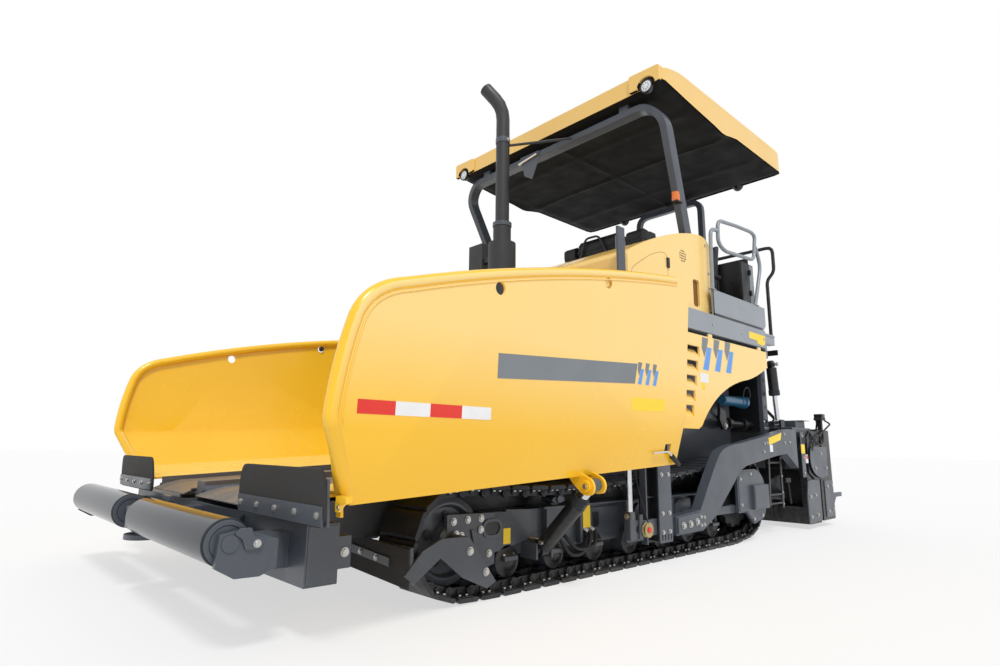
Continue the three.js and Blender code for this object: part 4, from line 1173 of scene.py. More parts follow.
# -------------------- push rollers and cross beam
@dataclass(frozen=True)
class PushGear:
    """The truck-pushing rollers, their brackets, the cross beam and the tow hook plate."""

    x: float = 3.085
    z: float = 0.397
    radius: float = 0.085
    inner: float = 0.14
    outer: float = 1.223

    def rollers(self) -> None:
        """Turned roller shells with dark end caps and journals."""
        roller = Piece("push_roller_shell_{}", "push_roller_{}", ROLLER, "push_roller_{}")
        length = self.outer - self.inner
        start, end = (self.x, self.inner, self.z), (self.x, self.outer, self.z)
        profile = [
            (0.001, 0), (0.001, 0.066), (0.003, 0.08), (0.01, self.radius), (length - 0.01, self.radius),
            (length - 0.003, 0.08), (length - 0.001, 0.066), (length - 0.001, 0),
        ]
        roller.lathe(start, end, profile, 72)
        roller.use(STEEL)
        for y, way in ((self.inner, 1), (self.outer, -1)):
            roller.ring(
                (self.x, y + way * 0.002, self.z), (self.x, y - way * 0.004, self.z), 0.078, 0.06, 48, 0.002,
            )
            roller.rod(
                (self.x, y + way * 0.01, self.z), (self.x, y - way * 0.001, self.z), 0.058, sides=40,
                edge=0.002,
            )
        roller.use(ROLLER).rod(
            (self.x, 0.0405, self.z), (self.x, self.outer + 0.0075, self.z), 0.029, sides=28,
        )
        roller.close()

    def beam(self) -> None:
        """Cross beam, brackets and hook plate, with their clamps and bolts."""
        beam = Piece.copied("push_beam_welded", "chassis", STEEL, "push_beam", 0.003)
        x, z = self.x, self.z
        for side in (-1, 1):
            face = side * 1.255
            clamp = [
                (x - 0.072, z - 0.03), (x - 0.012, z - 0.03), (x + 0.002, z + 0.01), (x + 0.03, z + 0.028),
                (x + 0.012, z + 0.046), (x - 0.03, z + 0.046), (x - 0.04, z + 0.016), (x - 0.072, z + 0.012),
            ]
            shift = [(a - 0.04, b + 0.004) for a, b in clamp]
            low, high = sorted((face, face + side * 0.01))
            beam.use(STEEL).plate(eased(shift, 0.006, 3, True), Axis.Y, low, high, 0.0015)
            beam.rod((x, face - side * 0.002, z), (x, face + side * 0.006, z), 0.03, sides=28, edge=0.002)
            beam.use(BOLT).bolt((x - 0.092, face + side * 0.01, z - 0.006), (0, side, 0), 0.01)
            beam.use(BOLT).bolt((2.634, side * 1.25, 0.322), (0, side, 0), 0.013)
            beam.use(STEEL).block(
                (2.668, side * 1.25 - 0.003, 0.214), (2.792, side * 1.25 + 0.003, 0.429), 0.001,
            )
        beam.use(STEEL).block((2.945, -0.062, 0.452), (2.965, 0.062, 0.478), 0.002)
        for y in (-0.62, 0.62):
            beam.plate([(2.8, 0.345), (2.9, 0.345), (2.8, 0.425)], Axis.Y, y - 0.006, y + 0.006)
        for y in (-0.055, 0.055):
            beam.block((2.86, min(y, y * 1.22), 0.3), (3.05, max(y, y * 1.22), 0.36), 0.004)
        beam.close()

    def build(self) -> None:
        """Makes the rollers and their beam."""
        self.rollers()
        self.beam()


# -------------------- crawlers
@dataclass
class Crawler:
    """One crawler: belt of shoes and links, wheels, rollers, beam and guards. The other is its mirror.

    Each knob of a link is its place along the shoe's pitch, its height, where it starts and ends outwards,
    its radius, its faces and its bevel.
    """

    shoes: int = 54
    inner: float = 0.89
    outer: float = 1.183
    idler: Triple = (1.98, 0.285, 0.275)
    sprocket: Triple = (-1.08, 0.36, 0.33)
    ground: Pair = (-0.83, 1.77)
    link_depth: float = 0.06
    sag: float = 0.085
    face: float = 1.06
    carrier_foot: float = 0.41
    carrier_drop: float = 0.62
    knobs: tuple[tuple[float, float, float, float, float, int, float], ...] = (
        (0.1, 0.043, 0.01, 0.03, 0.025, 14, 0.004), (0.1, 0.043, 0.03, 0.033, 0.012, 10, 0.001),
        (0.56, 0.04, 0.01, 0.017, 0.013, 10, 0.001),
    )
    roller: Triple = (-0.64, 0.1453, 0.37)
    rollers: int = 7

    def __post_init__(self) -> None:
        """Works out the belt's line: ground, up to the idler, over the top, round the sprocket and down."""
        (ix, iz, ir), (sx, sz, sr) = self.idler, self.sprocket
        rear, front = self.ground

        def lean(x: float, wheel: Triple) -> Pair:
            """Direction and half angle from a ground point to a wheel."""
            return math.atan2(wheel[1], wheel[0] - x), math.asin(
                wheel[2] / math.hypot(wheel[0] - x, wheel[1])
            )

        way, half = lean(front, self.idler)
        rise = way - half
        top = math.atan2(sz - iz, sx - ix) + math.asin((ir - sr) / math.hypot(sx - ix, sz - iz))
        way, half = lean(rear, self.sprocket)
        fall = way + half + math.pi
        quarter = math.pi / 2

        def on(wheel: Triple, angle: float) -> Pair:
            """A point on a wheel's pitch circle."""
            return wheel[0] + wheel[2] * math.cos(angle), wheel[1] + wheel[2] * math.sin(angle)

        def turn(wheel: Triple, start: float, end: float) -> list[Pair]:
            """Points round a wheel."""
            end += math.tau if end < start else 0
            return [on(wheel, start + (end - start) * i / 60) for i in range(61)]

        line = [(rear, 0.0), (front, 0.0)] + turn(self.idler, rise - quarter, top - quarter)
        (ax, az), (bx, bz) = line[-1], on(self.sprocket, top - quarter)
        top_steps = 24
        for i in range(1, top_steps):
            t = i / top_steps
            line.append((ax + (bx - ax) * t, az + (bz - az) * t - self.sag * 4 * t * (1 - t)))
        line += turn(self.sprocket, top - quarter, fall - quarter)
        self.line = [Vector((x, 0, z)) for x, z in [*line, (rear, 0.0)]]
        self.stops = [0.0]
        for a, b in zip(self.line, self.line[1:]):
            self.stops.append(self.stops[-1] + (b - a).length)

    def at(self, distance: float) -> Vector:
        """A point of the belt's outer face.

        Args:
            distance: How far it is along the belt.

        Returns:
            The point.
        """
        distance %= self.stops[-1]
        i = next(k for k in range(1, len(self.stops)) if distance <= self.stops[k])
        share = (distance - self.stops[i - 1]) / max(self.stops[i] - self.stops[i - 1], 1e-9)
        return self.line[i - 1].lerp(self.line[i], share)

    def belt(self) -> None:
        """Shoes with grousers and bolts outside, and a chain of links and pins inside."""
        belt = Piece("crawler_belt_{}", "chassis", TRACK, "track_{}")
        pitch = self.stops[-1] / self.shoes
        gap = 0.006
        low, high = self.inner, self.outer
        middle = (low + high) / 2
        section = [(gap, 0.013), (gap + 0.011, 0.0), (pitch - gap - 0.014, 0.0), (pitch - gap, 0.01),
                   (pitch - gap, 0.018), (pitch - gap - 0.01, 0.023), (gap + 0.01, 0.023), (gap, 0.02)]
        for i in range(self.shoes):
            start, end = self.at(i * pitch), self.at((i + 1) * pitch)
            along = (end - start).normalized()
            inward = Vector((-along.z, 0, along.x))
            frame_in = Matrix((along, Vector(LEFT), inward)).transposed().to_4x4()
            belt.place = Matrix.Translation(start) @ frame_in
            belt.plate(section, Axis.Y, low, high, 0.004)
            belt.block((0.04, low + 0.006, 0.022), (pitch - 0.04, high - 0.012, 0.027), 0.002)
            for side in (-1, 1):
                y = middle + side * 0.064
                link = eased([
                    (-0.014, 0.024), (0.03, 0.02), (pitch - 0.03, 0.02), (pitch - 0.006, 0.028),
                    (pitch - 0.004, 0.052), (pitch - 0.04, self.link_depth), (0.016, self.link_depth),
                    (-0.014, 0.052),
                ], 0.012, 2, True)
                belt.plate(link, Axis.Y, y - 0.01, y + 0.01, 0.0015)
                for x, z, near, far, radius, faces, edge in self.knobs:
                    root, tip = ((pitch * x, y + side * reach, z) for reach in (near, far))
                    belt.rod(root, tip, radius, sides=faces, edge=edge)
                belt.use(BOLT)
                for x in (0.4, 0.68):
                    belt.rod(
                        (pitch * x, y + side * 0.045, 0.022), (pitch * x, y + side * 0.045, 0.034), 0.01,
                        sides=6,
                    )
                belt.use(TRACK)
            belt.rod(
                (pitch * 0.08, middle - 0.05, 0.04), (pitch * 0.08, middle + 0.05, 0.04), 0.012, sides=10,
            )
        belt.close()

    def wheels(self) -> None:
        """Idler and sprocket."""
        x, z, r = self.idler
        rim = r - self.link_depth - 0.004
        idler = Piece("idler_wheel_{}", "chassis", STEEL, "idler_{}")
        idler.lathe((x, 0.99, z), (x, 1.09, z), [
            (0, 0), (0, rim - 0.03), (0.014, rim), (0.086, rim), (0.1, rim - 0.03), (0.098, rim - 0.04),
            (0.07, rim - 0.055), (0.07, 0.09), (0.098, 0.08), (0.1, 0),
        ], 48)
        for i in range(5):
            a = math.tau * i / 5 + 0.3
            idler.use(BLACK).rod(
                (x + 0.115 * math.cos(a), 1.068, z + 0.115 * math.sin(a)),
                (x + 0.115 * math.cos(a), 1.0715, z + 0.115 * math.sin(a)), 0.024,
            )
        idler.use(STEEL).rod((x, 0.9855, z), (x, 1.199, z), 0.036)
        idler.lathe(
            (x, 1.088, z), (x, 1.13, z), [(0, 0), (0, 0.076), (0.02, 0.072), (0.034, 0.05), (0.034, 0)], 32,
        )
        idler.close()
        drive = Piece.copied("sprocket_wheel_{}", "chassis", TRACK, "sprocket_{}", 0.0025)
        sx, sz, _ = self.sprocket
        drive.use(BOLT)
        for i in range(12):
            a = math.tau * i / 12
            drive.bolt((sx + 0.125 * math.cos(a), 1.1997, sz + 0.125 * math.sin(a)), LEFT, 0.011)
        drive.close()

    def frame_beam(self) -> None:
        """The crawler's beam with its rollers, idler fork, slots, bolts and blank plates."""
        beam = Piece.copied("crawler_beam_{}", "chassis", STEEL, "track_frame_{}", 0.003)
        for corner in beam.bm.verts:
            corner.co.z -= max(corner.co.z - self.carrier_foot, 0.0) * self.carrier_drop
        face = self.face
        first, z, pitch = self.roller
        for i in range(self.rollers):
            x = first + pitch * i
            beam.use(BLACK).lathe(
                (x, 1.084, z), (x, 1.11, z),
                [(0, 0), (0, 0.083), (0.005, 0.085), (0.01, 0.08), (0.01, 0.05), (0.03, 0.045), (0.034, 0)],
                32,
            )
            beam.use(STEEL).block((x - 0.05, 1.062, 0.148), (x + 0.05, 1.128, 0.176), 0.006)
            beam.use(BOLT).bolts([(x - 0.032, 1.1, 0.176), (x + 0.032, 1.1, 0.176)], UP, 0.009).use(STEEL)
        for x in (0.15, 1.15):
            beam.rod((x, 1.08, 0.44), (x, 1.092, 0.44), 0.022, edge=0.003)
        front = [(1.7, 0.15), (1.83, 0.12), (1.96, 0.23), (2.015, 0.3), (2.015, 0.412), (1.7, 0.404)]
        beam.plate(front, Axis.Y, 1.094, 1.122, 0.003)
        panel = [
            (1.4, 0.245), (1.56, 0.215), (1.712, 0.19), (1.712, 0.404), (1.59, 0.398), (1.59, 0.41),
            (1.4, 0.4),
        ]
        beam.plate(panel, Axis.Y, face, face + 0.034, 0.003)
        boss = oblong(1.652, 1.79, 0.278, 0.374, 0.046)
        beam.plate(boss, Axis.Y, 1.121, 1.13, 0.002, [oblong(1.668, 1.774, 0.294, 0.358, 0.031)])
        # Painted shade: black fills standing for the dark insides of the boss opening and slot.
        beam.use(BLACK).plate(
            oblong(1.667, 1.775, 0.293, 0.359, 0.031), Axis.Y, 1.1215, 1.1228, 0.0,
        ).use(STEEL)
        beam.use(BLACK).block((1.43, face, 0.25), (1.7, face + 0.004, 0.38), 0.0)
        top = face + 0.062
        beam.use(BOLT).bolts([
            (1.975, top, 0.376), (1.885, top, 0.379), (1.796, top, 0.38), (1.958, top, 0.315),
            (1.925, top, 0.306), (1.8, top + 0.004, 0.326), (1.74, top, 0.205),
        ], LEFT, 0.013)
        beam.use(STEEL).plate(
            [(1.8, 0.16), (1.826, 0.16), (1.868, 0.33), (1.842, 0.33)], Axis.Y, top, top + 0.01, 0.002,
        )
        ribs = [(1.26, 1.275), (0.955, 0.975), (0.46, 0.48), (-0.08, -0.06), (-0.42, -0.4)]
        for x0, x1 in ribs:
            beam.use(STEEL).block((x0, face - 0.002, 0.18), (x1, face + 0.04, 0.392), 0.003)
        beam.plate(
            [(-0.76, 0.392), (1.3, 0.392), (1.3, 0.404), (-0.76, 0.404)], Axis.Y, face - 0.1, face + 0.045,
            0.002,
        )
        for x0, x1 in ((0.565, 0.9), (0.06, 0.38), (-0.36, -0.14)):
            beam.plate(
                eased([(x0, 0.21), (x1, 0.21), (x1, 0.33), (x1 - 0.05, 0.372), (x0, 0.372)], 0.012, 3, True),
                Axis.Y, face, face + 0.016, 0.002,
            )
        # Painted shade: a black patch standing for a slot's dark inside.
        beam.use(BLACK).block((0.77, face + 0.016, 0.255), (0.83, face + 0.0175, 0.345), 0.0)
        beam.use(LABEL).block((0.885, face + 0.041, 0.262), (0.955, face + 0.0425, 0.392), 0.0)
        beam.block((1.56, face + 0.0345, 0.232), (1.612, face + 0.0355, 0.312), 0.0)
        # Painted shade: a black sheet inside the belt loop, where the floor would show between the links.
        sheet, inset, steps = [], 0.034, 72
        for i in range(steps):
            start, end = self.at(self.stops[-1] * i / steps), self.at(self.stops[-1] * (i + 0.5) / steps)
            along = (end - start).normalized()
            sheet.append((start.x - along.z * inset, start.z + along.x * inset))
        beam.use(BLACK).plate(sheet, Axis.Y, 0.897, 0.905, 0.0)
        for shift, drop in ((0.0, 0.122), (0.055, 0.15)):
            loop = [
                (1.215 - shift, 1.085, 0.262), (1.205 - shift, 1.13, 0.235),
                (1.14 - shift, 1.15, drop + 0.01), (1.05 - shift, 1.15, drop), (0.95 - shift, 1.145, 0.165),
                (0.91 - shift, 1.12, 0.235), (0.93 - shift, 1.085, 0.262),
            ]
            beam.use(HOSE).pipe(loop, 0.011, 0.06, 12, 7)
            beam.use(BOLT).rod(loop[0], Vector(loop[0]).lerp(Vector(loop[1]), 0.75), 0.0145, sides=6)
            beam.rod(loop[-1], Vector(loop[-1]).lerp(Vector(loop[-2]), 0.7), 0.0145, sides=6)
        beam.use(BRASS).pipe([
            (1.42, face + 0.04, 0.25), (1.36, face + 0.055, 0.236), (1.28, face + 0.03, 0.262),
            (1.2, face + 0.028, 0.3),
        ], 0.004, 0.03)
        beam.close()

    def guards(self) -> None:
        """Front guard with its scraper, and the rear drive cover with its box."""
        guard = Piece.copied("front_guard_plate_{}", "chassis", STEEL, "front_guard_{}", 0.002)
        guard.use(RUBBER).plate(
            [(0.7, 0.15), (1.205, 0.122), (1.205, 0.29), (0.7, 0.304)], Axis.X, 2.2845, 2.2935, 0.001,
        )
        guard.use(STEEL).plate(
            [(0.725, 0.222), (1.06, 0.198), (1.06, 0.238), (0.725, 0.262)], Axis.X, 2.2935, 2.3005, 0.002,
        )
        guard.use(BOLT).bolts([(2.3005, 0.815, 0.236), (2.3005, 0.955, 0.226)], FRONT, 0.01)
        guard.bolts([(1.945, 1.214, 0.248), (1.842, 1.214, 0.142)], LEFT, 0.014)
        guard.close()
        cover = Piece.copied("drive_cover_plate_{}", "chassis", STEEL, "drive_cover_{}", 0.004)
        rim = [
            (-0.845, 0.25), (-0.845, 0.535), (-0.88, 0.556), *arc((-1.13, 0.35), 0.208, 90, 230, 12),
            (-1.095, 0.156), (-0.965, 0.25),
        ]
        cover.plate(rim, Axis.Y, 1.2255, 1.2295, 0.0015)
        cover.use(BOLT).bolts([
            (-0.875, 1.2295, 0.5), (-0.875, 1.2295, 0.3), (-1.06, 1.2295, 0.535), (-1.24, 1.2295, 0.2),
            (-1.08, 1.2295, 0.18),
        ], LEFT, 0.01)
        cover.use(STEEL).plate(oblong(-1.318, -1.067, 0.267, 0.436, 0.012), Axis.Y, 1.2575, 1.2605, 0.001)
        cover.use(BLACK).block((-0.845, 1.1, 0.262), (-0.56, 1.15, 0.47), 0.004)
        cover.use(LABEL).block((-0.65, 1.15, 0.3), (-0.59, 1.1512, 0.38), 0.0)
        cover.close()

    def build(self) -> None:
        """Makes both crawlers."""
        self.belt()
        self.wheels()
        self.frame_beam()
        self.guards()


# -------------------- towing gear
@dataclass(frozen=True)
class TowGear:
    """The tow point column with its levelling rod, and the long arm that pulls the screed."""

    column_face: float = 1.275
    arm_face: float = 1.275
    rod: Pair = (0.67, 1.24)

    def column(self) -> None:
        """Bolted outer plate, dark channel and levelling rod."""
        column = Piece("tow_column_plate_{}", "chassis", STEEL, "tow_column_{}")
        y = self.column_face
        slots = [oblong(0.252 + 0.034 * i, 0.264 + 0.034 * i, 0.15, 0.19, 0.005) for i in range(4)]
        column.plate(oblong(0.236, 0.39, 0.137, 0.858, 0.008), Axis.Y, y - 0.01, y, 0.0015, slots)
        column.use(BLACK).block((0.236, 1.195, 0.137), (0.5, 1.205, 0.858), 0.002)
        column.block((0.244, 1.204, 0.15), (0.256, y - 0.009, 0.85), 0.002)
        column.block((0.378, 1.204, 0.15), (0.39, y - 0.009, 0.85), 0.002)
        column.use(STEEL).block((0.484, 1.195, 0.137), (0.5, 1.25, 0.858), 0.002)
        column.use(BLACK)
        for z in (0.23, 0.42, 0.61, 0.8):
            column.block((0.386, 1.204, z), (0.488, 1.24, z + 0.012), 0.002)
        pairs = [(a, b) for b in (0.81, 0.566, 0.32, 0.203) for a in (0.27, 0.352)]
        column.use(BOLT).bolts([(a, y, b) for a, b in pairs], LEFT, 0.011)
        column.use(STEEL)
        column.plate(oblong(0.5, 0.7, 0.165, 0.23, 0.02), Axis.Y, 1.2, 1.235, 0.003)
        column.block((0.64, 1.215, 0.18), (0.7, 1.265, 0.35), 0.006)
        column.block((0.56, 1.215, 0.18), (0.6, 1.265, 0.33), 0.006)
        column.use(HOSE).pipe(
            [(0.64, 1.262, 0.62), (0.622, 1.285, 0.45), (0.56, 1.3, 0.278)], 0.0035, 0.03, 8,
        )
        x, side = self.rod
        column.use(CHROME).rod((x, side, 0.345), (x, side, 0.64), 0.0206, sides=36)
        column.use(BLACK).lathe((x, side, 0.612), (x, side, 0.985), [
            (0, 0), (0, 0.034), (0.01, 0.042), (0.022, 0.042), (0.03, 0.0405), (0.362, 0.0405),
            (0.373, 0.03), (0.373, 0),
        ], 36)
        column.use(BRASS).rod((x, side, 0.3), (x, side, 0.346), 0.026, sides=6)
        column.use(BOLT).bolt((0.7, side, 0.322), FRONT, 0.012)
        column.use(BRASS).lathe(
            (0.531, 1.262, 0.234), (0.531, 1.288, 0.234),
            [(0, 0), (0, 0.046), (0.006, 0.046), (0.013, 0.036), (0.02, 0.046), (0.026, 0.046), (0.026, 0)],
            32,
        )
        column.use(RED).rod((0.531, 1.287, 0.234), (0.531, 1.295, 0.234), 0.018, edge=0.003)
        column.use(STEEL).rod((0.531, 1.2, 0.234), (0.531, 1.264, 0.234), 0.014)
        column.close()

    def arm(self) -> None:
        """Long plate arm with bolted front plate and pin."""
        arm = Piece.copied("tow_arm_plate_{}", "screed", STEEL, "tow_arm_{}", 0.003)
        y = self.arm_face
        arm.plate(
            eased(
                [(0.18, 0.176), (0.18, 0.282), (-0.14, 0.302), (-0.22, 0.245), (-0.165, 0.182)], 0.012, 3,
                True,
            ),
            Axis.Y, y, y + 0.012, 0.002,
        )
        arm.use(BOLT).bolts(
            [(0.12, y + 0.012, 0.228), (0.03, y + 0.012, 0.232), (-0.06, y + 0.012, 0.24)], LEFT, 0.017,
        )
        arm.bolts([
            (-0.12, y + 0.012, 0.268), (-0.12, y + 0.012, 0.212), (-0.165, y + 0.012, 0.262),
            (-0.16, y + 0.012, 0.214),
        ], LEFT, 0.009)
        tag = [(-1.36, 0.792), (-1.6, 0.838), (-1.63, 0.902), (-1.355, 0.852)]
        arm.use(LABEL).plate([(a, b - 0.02) for a, b in tag], Axis.Y, y, y + 0.0012, 0.0)
        arm.use(WHITE).block((-1.43, y, 0.715), (-1.37, y + 0.0011, 0.775), 0.0)
        arm.use(BOLT).bolts(
            [
                (a, y, b)
                for a, b in (
                    (-1.27, 0.785), (-1.25, 0.715), (-1.32, 0.79), (-1.69, 0.872), (-1.69, 0.795),
                    (-1.8, 0.8),
                )
            ],
            LEFT, 0.009,
        )
        arm.close()

    def build(self) -> None:
        """Makes both sides."""
        self.column()
        self.arm()


# -------------------- screed and augers
@dataclass(frozen=True)
class Screed:
    """The floating screed, its sliding extensions, walkway, lift cylinders and the augers before it."""

    lift_top: Triple = (-1.945, 1.1, 1.54)
    lift_eye: Triple = (-2.005, 1.1, 0.985)

    def body(self) -> None:
        """Base screed, and its walkway with bolts and tread plates."""
        Piece.copied("screed_body_welded", "screed", BLACK, "screed_body", 0.003).close()
        deck = Piece.copied("screed_walkway", "screed", STEEL, "screed_deck", 0.003)
        deck.use(BOLT).bolts(
            [(x, y, 0.9452) for x in (-2.12, -2.26) for y in (-0.9, -0.3, 0.3, 0.9)], UP, 0.01,
        )
        for i in range(6):
            deck.use(STEEL).block(
                (-2.515, -1.05 + i * 0.42 - 0.16, 1.0148), (-2.32, -1.05 + i * 0.42 + 0.16, 1.019), 0.001,
            )
        deck.close()

    def ends(self) -> None:
        """Bolted end plates, blank plates, ladder frame and crank of the base screed."""
        end = Piece("screed_end_{}", "screed", BLACK)
        y = 1.235
        face = [(-2.54, 0.07), (-2.215, 0.05), (-2.205, 0.3), (-2.24, 0.44), (-2.3, 0.452), (-2.54, 0.452)]
        end.use(STEEL).plate(face, Axis.Y, y - 0.001, y + 0.01, 0.0015)
        end.use(BOLT).bolts(
            [(a, y + 0.01, b) for a, b in ((-2.27, 0.3), (-2.4, 0.31), (-2.26, 0.115), (-2.42, 0.125))],
            LEFT, 0.013,
        )
        outer = 1.2505
        end.use(STEEL).block((-2.19, outer - 0.001, 0.48), (-2.11, outer + 0.006, 0.9), 0.002)
        end.use(BOLT).bolts([(-2.15, outer + 0.006, z) for z in (0.52, 0.66, 0.86)], LEFT, 0.009)
        end.use(LABEL).block((-2.195, outer + 0.0062, 0.7), (-2.105, outer + 0.0072, 0.785), 0.0)
        end.use(HOSE).block((-2.225, outer - 0.001, 0.795), (-2.13, outer + 0.0068, 0.856), 0.0)
        end.use(WHITE).block((-2.262, outer - 0.001, 0.61), (-2.206, outer + 0.006, 0.69), 0.002)
        end.use(RED).block((-2.256, outer + 0.006, 0.65), (-2.212, outer + 0.0075, 0.684), 0.001)
        end.use(BLACK)
        end.plate(
            [(-1.545, 0.73), (-1.515, 0.73), (-1.475, 0.255), (-1.505, 0.255)], Axis.Y, 1.184, 1.197, 0.002,
        )
        end.plate(
            [(-1.782, 0.735), (-1.748, 0.735), (-1.748, 0.225), (-1.782, 0.225)], Axis.Y, 1.184, 1.197,
            0.002,
        )
        for z in (0.27, 0.345, 0.62):
            end.block((-1.76, 1.186, z - 0.008), (-1.495, 1.195, z + 0.008), 0.002)
        end.use(BOLT).bolts([(-1.765, 1.197, z) for z in (0.26, 0.36, 0.5, 0.66)], LEFT, 0.007)
        end.use(PLASTIC).rod((-1.9, 1.192, 0.475), (-1.945, 1.192, 0.25), 0.0075)
        end.block((-1.96, 1.185, 0.44), (-1.85, 1.199, 0.48), 0.003)
        end.close()

    def extension(self) -> None:
        """Sliding extension with end plates, step, lamp box, hoses and jacks."""
        wing = Piece.copied(
            "screed_extension_box_{}", "screed_extension_{}", BLACK, "screed_extension_{}", 0.003,
        )
        y = 1.25
        wing.block((-2.8, y - 0.001, 0.56), (-2.62, y + 0.01, 0.9), 0.003)
        face = [
            (-2.742, 0.762), (-2.715, 0.484), (-2.56, 0.462),
            *bow((-2.56, 0.462), (-2.3, 0.49), (-2.288, 0.64), 8)[1:],
            *bow((-2.288, 0.64), (-2.29, 0.765), (-2.38, 0.768), 6)[1:],
        ]
        wing.use(STEEL).plate(face, Axis.Y, y + 0.009, y + 0.018, 0.002)
        wing.use(BOLT).bolts(
            [(a, y + 0.018, b) for a, b in ((-2.56, 0.7), (-2.68, 0.56), (-2.4, 0.56))], LEFT, 0.011,
        )
        wing.use(STEEL).block((-2.86, y - 0.001, 0.09), (-2.63, y + 0.008, 0.435), 0.002)
        wing.use(BOLT).bolts(
            [(a, y + 0.008, b) for a, b in ((-2.69, 0.38), (-2.82, 0.385), (-2.69, 0.14), (-2.82, 0.15))],
            LEFT, 0.012,
        )
        wing.use(STEEL).block((-3.16, 1.205, 0.262), (-2.861, 1.235, 0.304), 0.003)
        wing.plate(
            [(-2.861, 0.3), (-2.861, 0.19), (-2.88, 0.19), (-2.96, 0.262), (-3.0, 0.3)], Axis.Y, 1.236,
            1.246, 0.002,
        )
        wing.use(AMBER).block((-2.869, 1.165, 1.095), (-2.811, 1.215, 1.0998), 0.002)
        wing.use(HEAT).block((-2.895, 1.15, 1.035), (-2.785, 1.23, 1.06), 0.003)
        for y0, sag in ((1.18, 0.02), (1.14, 0.06)):
            loop = [
                (-2.86, y0, 1.06), (-2.905, y0, 1.02), (-2.9, y0 - 0.02, 0.96 - sag),
                (-2.82, y0 - 0.05, 0.936), (-2.7, 0.9, 0.936), (-2.64, 0.7, 0.934),
            ]
            wing.use(HOSE).pipe(loop, 0.009, 0.05)
        side_hoses = (
            [
                (-2.9, 1.215, 1.036), (-2.925, 1.262, 1.0), (-2.69, 1.27, 0.922), (-2.42, 1.27, 0.83),
                (-2.345, 1.268, 0.73),
            ],
            [
                (-2.7, 1.258, 0.93), (-2.655, 1.275, 0.81), (-2.52, 1.275, 0.776), (-2.4, 1.268, 0.835),
                (-2.36, 1.25, 0.9),
            ],
        )
        for hose in side_hoses:
            wing.use(HOSE).pipe(hose, 0.0085, 0.12, 12, 8)
        self.jack(wing)
        wing.close()

    @staticmethod
    def jack(wing: Piece) -> None:
        """Height jacks and stiffening ribs on the extension's rear wall.

        Args:
            wing: The extension.
        """
        rear = -2.88
        for y in (0.25, 0.95):
            wing.use(STEEL).block((rear - 0.04, y - 0.05, 0.64), (rear + 0.002, y + 0.05, 0.7), 0.004)
            wing.block((rear - 0.04, y - 0.05, 0.34), (rear + 0.002, y + 0.05, 0.39), 0.004)
            wing.use(CHROME).rod((rear - 0.03, y, 0.38), (rear - 0.03, y, 0.9), 0.012)
            wing.use(BOLT).rod((rear - 0.03, y, 0.7), (rear - 0.03, y, 0.73), 0.02, sides=6)
            wing.use(PLASTIC).rod((rear - 0.03, y - 0.055, 0.89), (rear - 0.03, y + 0.055, 0.89), 0.011)
        for y in (0.45, 0.75):
            wing.use(BLACK).plate(
                [(rear - 0.03, 0.31), (rear + 0.002, 0.31), (rear + 0.002, 0.9), (rear - 0.012, 0.9)],
                Axis.Y, y - 0.005, y + 0.005, 0.001,
            )

    def lift(self) -> None:
        """Screed lift cylinder with round head, gland and chromed rod."""
        top, eye = Vector(self.lift_top), Vector(self.lift_eye)
        way = (eye - top).normalized()
        barrel = Piece.copied("lift_barrel_{}", "lift_cylinder_{}", BLACK, "lift_cylinder_{}", 0.003)
        barrel.use(ROLLER).lathe(top + way * 0.246, eye, [
            (0, 0.0262), (0, 0.0485), (0.006, 0.051), (0.044, 0.051), (0.05, 0.0485), (0.05, 0.0262),
            (0, 0.0262),
        ], 36)
        barrel.use(BOLT).bolt(top + Vector((0, 0.055, 0)), LEFT, 0.014)
        barrel.close()
        Piece.copied("lift_rod_chrome_{}", "lift_rod_{}", CHROME, "lift_rod_{}", 0.001).close()

    def augers(self) -> None:
        """Screw augers, and the drive between them."""
        Piece.copied("auger_screw_{}", "auger_{}", TRACK, "auger_{}", 0.0).close()
        Piece.copied("auger_drive_case", "chassis", STEEL, "auger_drive", 0.004).close()

    def build(self) -> None:
        """Makes the whole screed."""
        self.body()
        self.ends()
        self.extension()
        self.lift()
        self.augers()


